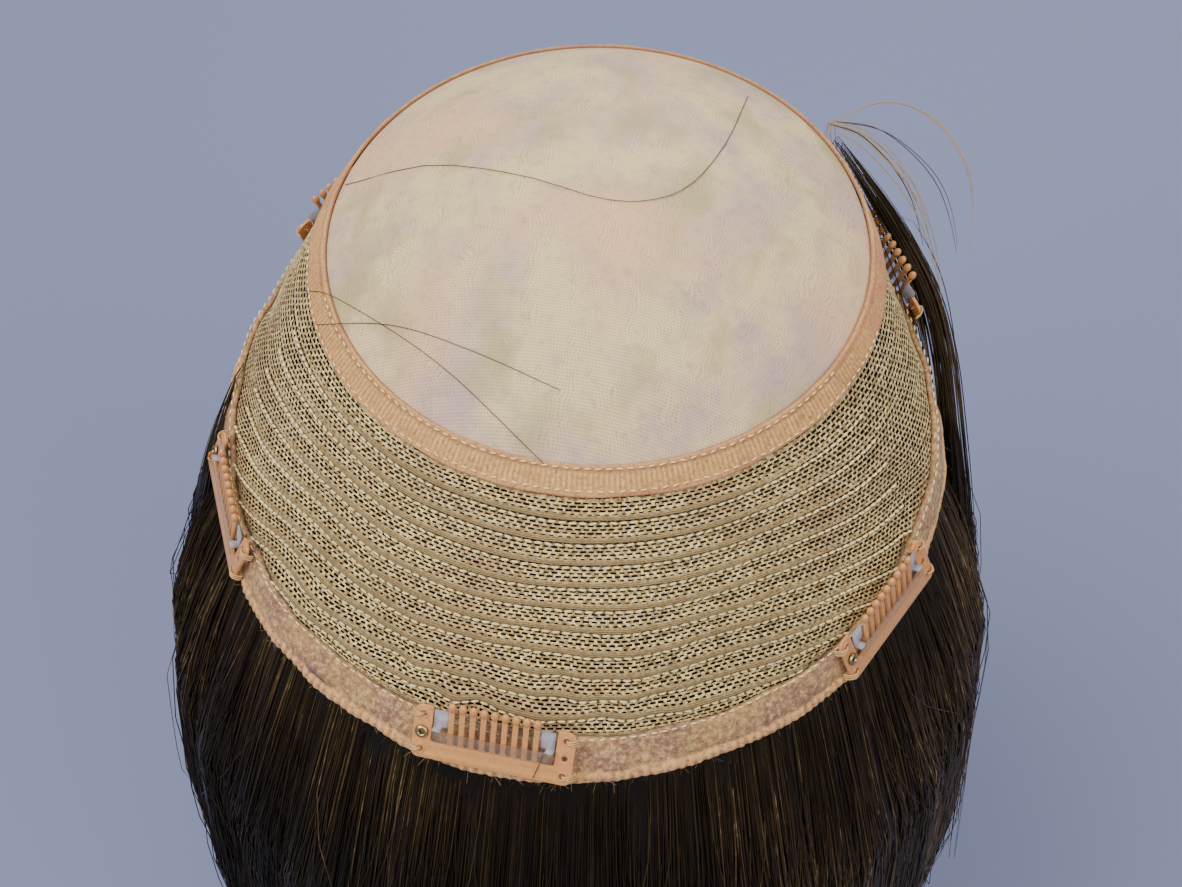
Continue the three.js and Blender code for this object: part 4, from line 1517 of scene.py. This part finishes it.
def depth_beside(path):
    """How far from the camera the rays through a path's pixels pass nearest to the hem and hair."""
    near = []
    for name in ("hem_band", *(f"hair_locks_{side}" for side in HAIR_SECTORS)):
        mesh = bpy.data.objects[name].data
        spots = np.empty(3 * len(mesh.vertices), np.float32)
        mesh.vertices.foreach_get("co", spots)
        near.append(spots.reshape(-1, 3)[::5])
    near = np.concatenate(near)
    depths = np.linspace(*WISP_DEPTHS, 60)
    found = []
    for pixel in path:
        start, ray = photo_ray(pixel)
        along = np.array(start) + np.array(ray) * depths[:, None]
        gaps = np.linalg.norm(near[None] - along[:, None], axis=-1).min(axis=1)
        found.append(depths[gaps.argmin()])
    return np.maximum.accumulate(found)


def make_wisps(settings):
    """The stray hairs, and the loose hair that hangs out beside the temples."""
    rng = np.random.default_rng(settings.seed + 30)
    tubes = tube_tree()
    strand = hair_finish("loose_hair", settings)
    laid = stray_hair_lines()
    width = np.full(laid.shape[:2], STRAY_RADIUS)
    mesh = line_mesh("stray_hairs", laid, thickness=width, tone=0 * width + 0.55)
    dress(realised("stray_hairs", mesh, tubes, sides=4, material=strand), "hair")
    for name, (path, count, spread, tone, thick) in WISPS.items():
        middle = curve_through(path, 4)
        place = np.linspace(0, 1, len(middle))
        temple = "left" if name == "left" else "right"
        depth = np.interp(place, np.linspace(0, 1, len(path)), depth_beside(path))
        lines = []
        for _ in range(count):
            side = rng.normal(0, spread, 2) * (0.25 + np.sin(math.pi * place[:, None] * 0.8))
            bend = rng.normal(0, spread * 0.3) * np.sin(TURN * place * rng.uniform(0.6, 1.5))
            pixels = middle + side + bend[:, None] * [1.0, 0.3]
            deeper = depth + rng.normal(0, 3 * MM)
            rays = [photo_ray(pixel) for pixel in pixels]
            line = np.array([start + ray * far for (start, ray), far in zip(rays, deeper)])
            first = rng.uniform(0, 0.25 if count > 50 else 0.02)
            shown_part = np.linspace(first, rng.uniform(0.72, 1), len(line))
            line = np.stack([np.interp(shown_part, place, line[:, i]) for i in range(3)], axis=-1)
            root = math.radians(rng.uniform(*WISP_ROOTS[temple]))
            lines.append([cap_point(root, skirt_length(root) + MM, -MM), *line])
        lines = np.array(lines)
        place = np.linspace(0, 1, lines.shape[1])
        taper = (0.4 + 0.6 * smooth(place, 0, 0.2)) * (1 - 0.6 * smooth(place, 0.6, 1))
        width = thick * taper * rng.uniform(0.6, 1.3, (count, 1))
        tones = tone + rng.normal(0, 0.12, (count, 1)) + 0 * width
        mesh = line_mesh(f"wisp_{name}", lines, thickness=width, tone=tones)
        dress(realised(f"wisp_{name}", mesh, tubes, sides=4, material=strand), "hair")


def make_fuzz(settings):
    """Short fibres that stand out from under the hem all round."""
    rng = np.random.default_rng(settings.seed + 20)
    count = FUZZ_COUNT
    angle = rng.uniform(-math.pi, math.pi, (count, 1))
    reach = np.linspace(0, 1, FUZZ_STEPS)[None, :]
    long = rng.uniform(0.8, 2.6, (count, 1)) * MM
    hem = skirt_length(angle)
    along = hem + TAPE_WALL * 0.6 + long * reach
    lift = -rng.uniform(0.0, 3.0, (count, 1)) * MM + rng.normal(0, 1.3, (count, 1)) * MM * reach**1.5
    sweep = rng.normal(0, 0.016, (count, 1)) * reach
    points = cap_point(angle + sweep, along, lift + slack(angle, hem))
    width = FUZZ_RADIUS * (1 - 0.6 * reach) * rng.uniform(0.7, 1.5, (count, 1))
    tone = rng.uniform(0.2, 0.95, (count, 1))
    mesh = line_mesh("hem_fuzz", points, thickness=width + 0 * along, tone=tone + 0 * along)
    material = hair_finish("fine_fibre", settings)
    piece = realised("hem_fuzz", mesh, tube_tree(), sides=3, material=material)
    return dress(piece, "hair")


def make_stage(settings):
    """The camera, the floor and the lights."""
    scene = bpy.context.scene
    azimuth, elevation, roll = CAMERA_AZIMUTH, CAMERA_ELEVATION, CAMERA_ROLL
    back = Vector(
        (
            math.sin(azimuth) * math.cos(elevation),
            -math.cos(azimuth) * math.cos(elevation),
            math.sin(elevation),
        )
    )
    level = Vector((math.cos(azimuth), math.sin(azimuth), 0))
    above = back.cross(level)
    right = level * math.cos(roll) + above * math.sin(roll)
    up = above * math.cos(roll) - level * math.sin(roll)
    data = bpy.data.cameras.new("view")
    data.lens = CAMERA_LENS
    data.sensor_width = CAMERA_SENSOR
    data.clip_start = 0.01
    camera = bpy.data.objects.new("view", data)
    camera.matrix_world = (
        Matrix.Translation(CAMERA_TARGET + back * CAMERA_DISTANCE)
        @ Matrix((right, up, back)).transposed().to_4x4()
    )
    scene.collection.objects.link(camera)
    scene.camera = camera

    low, half = frame_box[0].z - FLOOR_GAP, FLOOR_HALF
    floor_mesh = bpy.data.meshes.new("floor")
    corners = [(-half, -half, low), (half, -half, low), (half, half, low), (-half, half, low)]
    floor_mesh.from_pydata(corners, [], [(0, 1, 2, 3)])
    finish = Finish("pale_floor", settings.floor_colour, roughness=0.8)
    finish.patches(0.5, 1.0, 0.3, 0.7, opaque(settings.floor_colour, 0.95))
    shown("floor", floor_mesh, finish.done())

    for name, (place, size, share) in LIGHTS.items():
        light = bpy.data.lights.new(name, "AREA")
        light.size = size
        light.energy = settings.key_power * share
        lamp = bpy.data.objects.new(name, light)
        lamp.location = place
        lamp.rotation_euler = (-Vector(place)).to_track_quat("-Z", "Y").to_euler()
        scene.collection.objects.link(lamp)
    world = bpy.data.worlds.new("soft_room")
    world.use_nodes = True
    sky = world.node_tree.nodes["Background"]
    sky.inputs["Color"].default_value = opaque(settings.sky_colour)
    sky.inputs["Strength"].default_value = settings.sky_strength
    scene.world = world


# The settings that a user would change


def colour_property(name, description, default):
    return FloatVectorProperty(
        name=name, description=description, default=default, subtype="COLOR", min=0, max=1
    )


def length_property(name, description, default):
    return FloatProperty(name=name, description=description, default=default, unit="LENGTH", min=0)


class SilkSettings(bpy.types.PropertyGroup):
    colour: colour_property("Colour", "The silk's main colour", (0.80, 0.60, 0.30))
    knit_size: length_property("Knit size", "Width of one stitch of the knit", 0.75 * MM)


class TapeSettings(bpy.types.PropertyGroup):
    colour: colour_property("Colour", "The ring tape's colour", (0.74, 0.38, 0.135))
    hem_colour: colour_property("Hem colour", "The velvet hem tape's colour", (0.43, 0.25, 0.10))
    rib_pitch: length_property("Rib pitch", "From one cross rib to the next", 1.02 * MM)
    rib_height: length_property("Rib height", "How far the ribs stand up", 0.28 * MM)
    wrap_pitch: length_property("Wrap pitch", "From one wrap of the rolled edge to the next", 1.6 * MM)
    plush_pitch: length_property("Plush pitch", "From one soft rib of the hem to the next", 2.2 * MM)


class NetSettings(bpy.types.PropertyGroup):
    colour: colour_property("Colour", "The net's thread", (0.25, 0.16, 0.052))
    hole_pitch: length_property("Hole pitch", "From one hole to the next in a row", 1.62 * MM)
    hole_width: FloatProperty(
        name="Hole width", description="Share of the pitch that is open", default=0.72, min=0, max=1
    )
    hole_height: FloatProperty(
        name="Hole height", description="Share of a row that is open", default=0.56, min=0, max=1
    )
    thread_depth: length_property("Thread depth", "How far the threads round over", 0.08 * MM)
    tuck_height: length_property("Tuck height", "How far a tuck stands off the net", 1.1 * MM)
    dense_pitch: length_property("Fold threads", "From one thread to the next on a fold", 0.36 * MM)


class StitchSettings(bpy.types.PropertyGroup):
    colour: colour_property("Tuck thread", "The chain stitches on the tucks", (0.93, 0.74, 0.35))
    tape_colour: colour_property("Tape thread", "The stitches on the tapes", (0.92, 0.70, 0.34))
    length: length_property("Length", "Length of a chain stitch", 1.9 * MM)
    width: length_property("Width", "Width of a chain stitch", 0.62 * MM)


class CombSettings(bpy.types.PropertyGroup):
    lacquer: colour_property("Lacquer", "The comb's lacquer", (0.66, 0.30, 0.095))
    film: colour_property("Silicone", "The silicone strip", (0.44, 0.40, 0.46))
    thread: colour_property("Thread", "The thread that sews the combs on", (0.68, 0.40, 0.15))


class HairSettings(bpy.types.PropertyGroup):
    root_colour: colour_property("Dark", "The darkest hair", (0.0065, 0.0040, 0.0019))
    brown_colour: colour_property("Brown", "The lighter hair", (0.050, 0.031, 0.012))
    gold_colour: colour_property("Gold", "The lightest hair", (0.36, 0.24, 0.11))
    strands: IntProperty(name="Strands", description="Strands all round", default=6100, min=10)
    strand_width: length_property("Strand width", "Width of a strand", 0.42 * MM)
    seed: IntProperty(name="Seed", description="Arrangement of the strands", default=5)


class StageSettings(bpy.types.PropertyGroup):
    floor_colour: colour_property("Floor", "The floor's colour", (0.20, 0.225, 0.36))
    key_power: FloatProperty(
        name="Key light", description="Power of the main light", default=16.0, unit="POWER", min=0
    )
    sky_colour: colour_property("Room", "Colour of the light from all round", (0.96, 0.96, 1.0))
    sky_strength: FloatProperty(
        name="Room light", description="Strength of the light from all round", default=0.5, min=0
    )


SETTINGS = {
    "silk": SilkSettings,
    "tape": TapeSettings,
    "net": NetSettings,
    "stitch": StitchSettings,
    "comb": CombSettings,
    "hair": HairSettings,
    "stage": StageSettings,
}


def setting(context, name):
    return getattr(context.scene, f"hairpiece_{name}")


# The operators and the panel


class HAIRPIECE_OT_stage(bpy.types.Operator):
    """Set the camera, the floor and the lights"""

    bl_idname = "hairpiece.stage"
    bl_label = "Stage"

    def execute(self, context):
        make_stage(setting(context, "stage"))
        return {"FINISHED"}


class HAIRPIECE_OT_cap(bpy.types.Operator):
    """Make the silk, the two tapes, the net and their stitches"""

    bl_idname = "hairpiece.cap"
    bl_label = "Cap"

    def execute(self, context):
        silk = make_silk(setting(context, "silk"))
        ring = make_ring_tape(setting(context, "tape"))
        hem = make_hem_tape(setting(context, "tape"))
        net = make_net(setting(context, "net"))
        stitches = make_stitches(setting(context, "stitch"))
        return {"FINISHED"}


class HAIRPIECE_OT_combs(bpy.types.Operator):
    """Make the five snap combs and sew them on"""

    bl_idname = "hairpiece.combs"
    bl_label = "Combs"

    def execute(self, context):
        make_combs(setting(context, "comb"))
        return {"FINISHED"}


class HAIRPIECE_OT_hair(bpy.types.Operator):
    """Make the hair and the fibres under the hem"""

    bl_idname = "hairpiece.hair"
    bl_label = "Hair"

    def execute(self, context):
        make_hair(setting(context, "hair"))
        make_fuzz(setting(context, "hair"))
        make_wisps(setting(context, "hair"))
        return {"FINISHED"}


OPERATORS = (HAIRPIECE_OT_stage, HAIRPIECE_OT_cap, HAIRPIECE_OT_combs, HAIRPIECE_OT_hair)


class HAIRPIECE_PT_dressing(bpy.types.Panel):
    """Lists the pieces and their settings"""

    bl_idname = "HAIRPIECE_PT_dressing"
    bl_label = "Hairpiece"
    bl_space_type = "VIEW_3D"
    bl_region_type = "UI"
    bl_category = "Hairpiece"

    def draw(self, context):
        for operator in OPERATORS:
            self.layout.operator(operator.bl_idname)
        for name in SETTINGS:
            box = self.layout.box()
            box.label(text=name.title())
            group = setting(context, name)
            for key in type(group).__annotations__:
                box.prop(group, key)


CLASSES = (*SETTINGS.values(), *OPERATORS, HAIRPIECE_PT_dressing)


def register():
    for item in CLASSES:
        bpy.utils.register_class(item)
    for name, group in SETTINGS.items():
        setattr(bpy.types.Scene, f"hairpiece_{name}", PointerProperty(type=group))


def unregister():
    for name in SETTINGS:
        delattr(bpy.types.Scene, f"hairpiece_{name}")
    for item in reversed(CLASSES):
        bpy.utils.unregister_class(item)


def main():
    """Makes the whole hairpiece."""
    register()
    bpy.ops.hairpiece.stage()
    bpy.ops.hairpiece.cap()
    bpy.ops.hairpiece.combs()
    bpy.ops.hairpiece.hair()


if __name__ == "__main__":
    main()
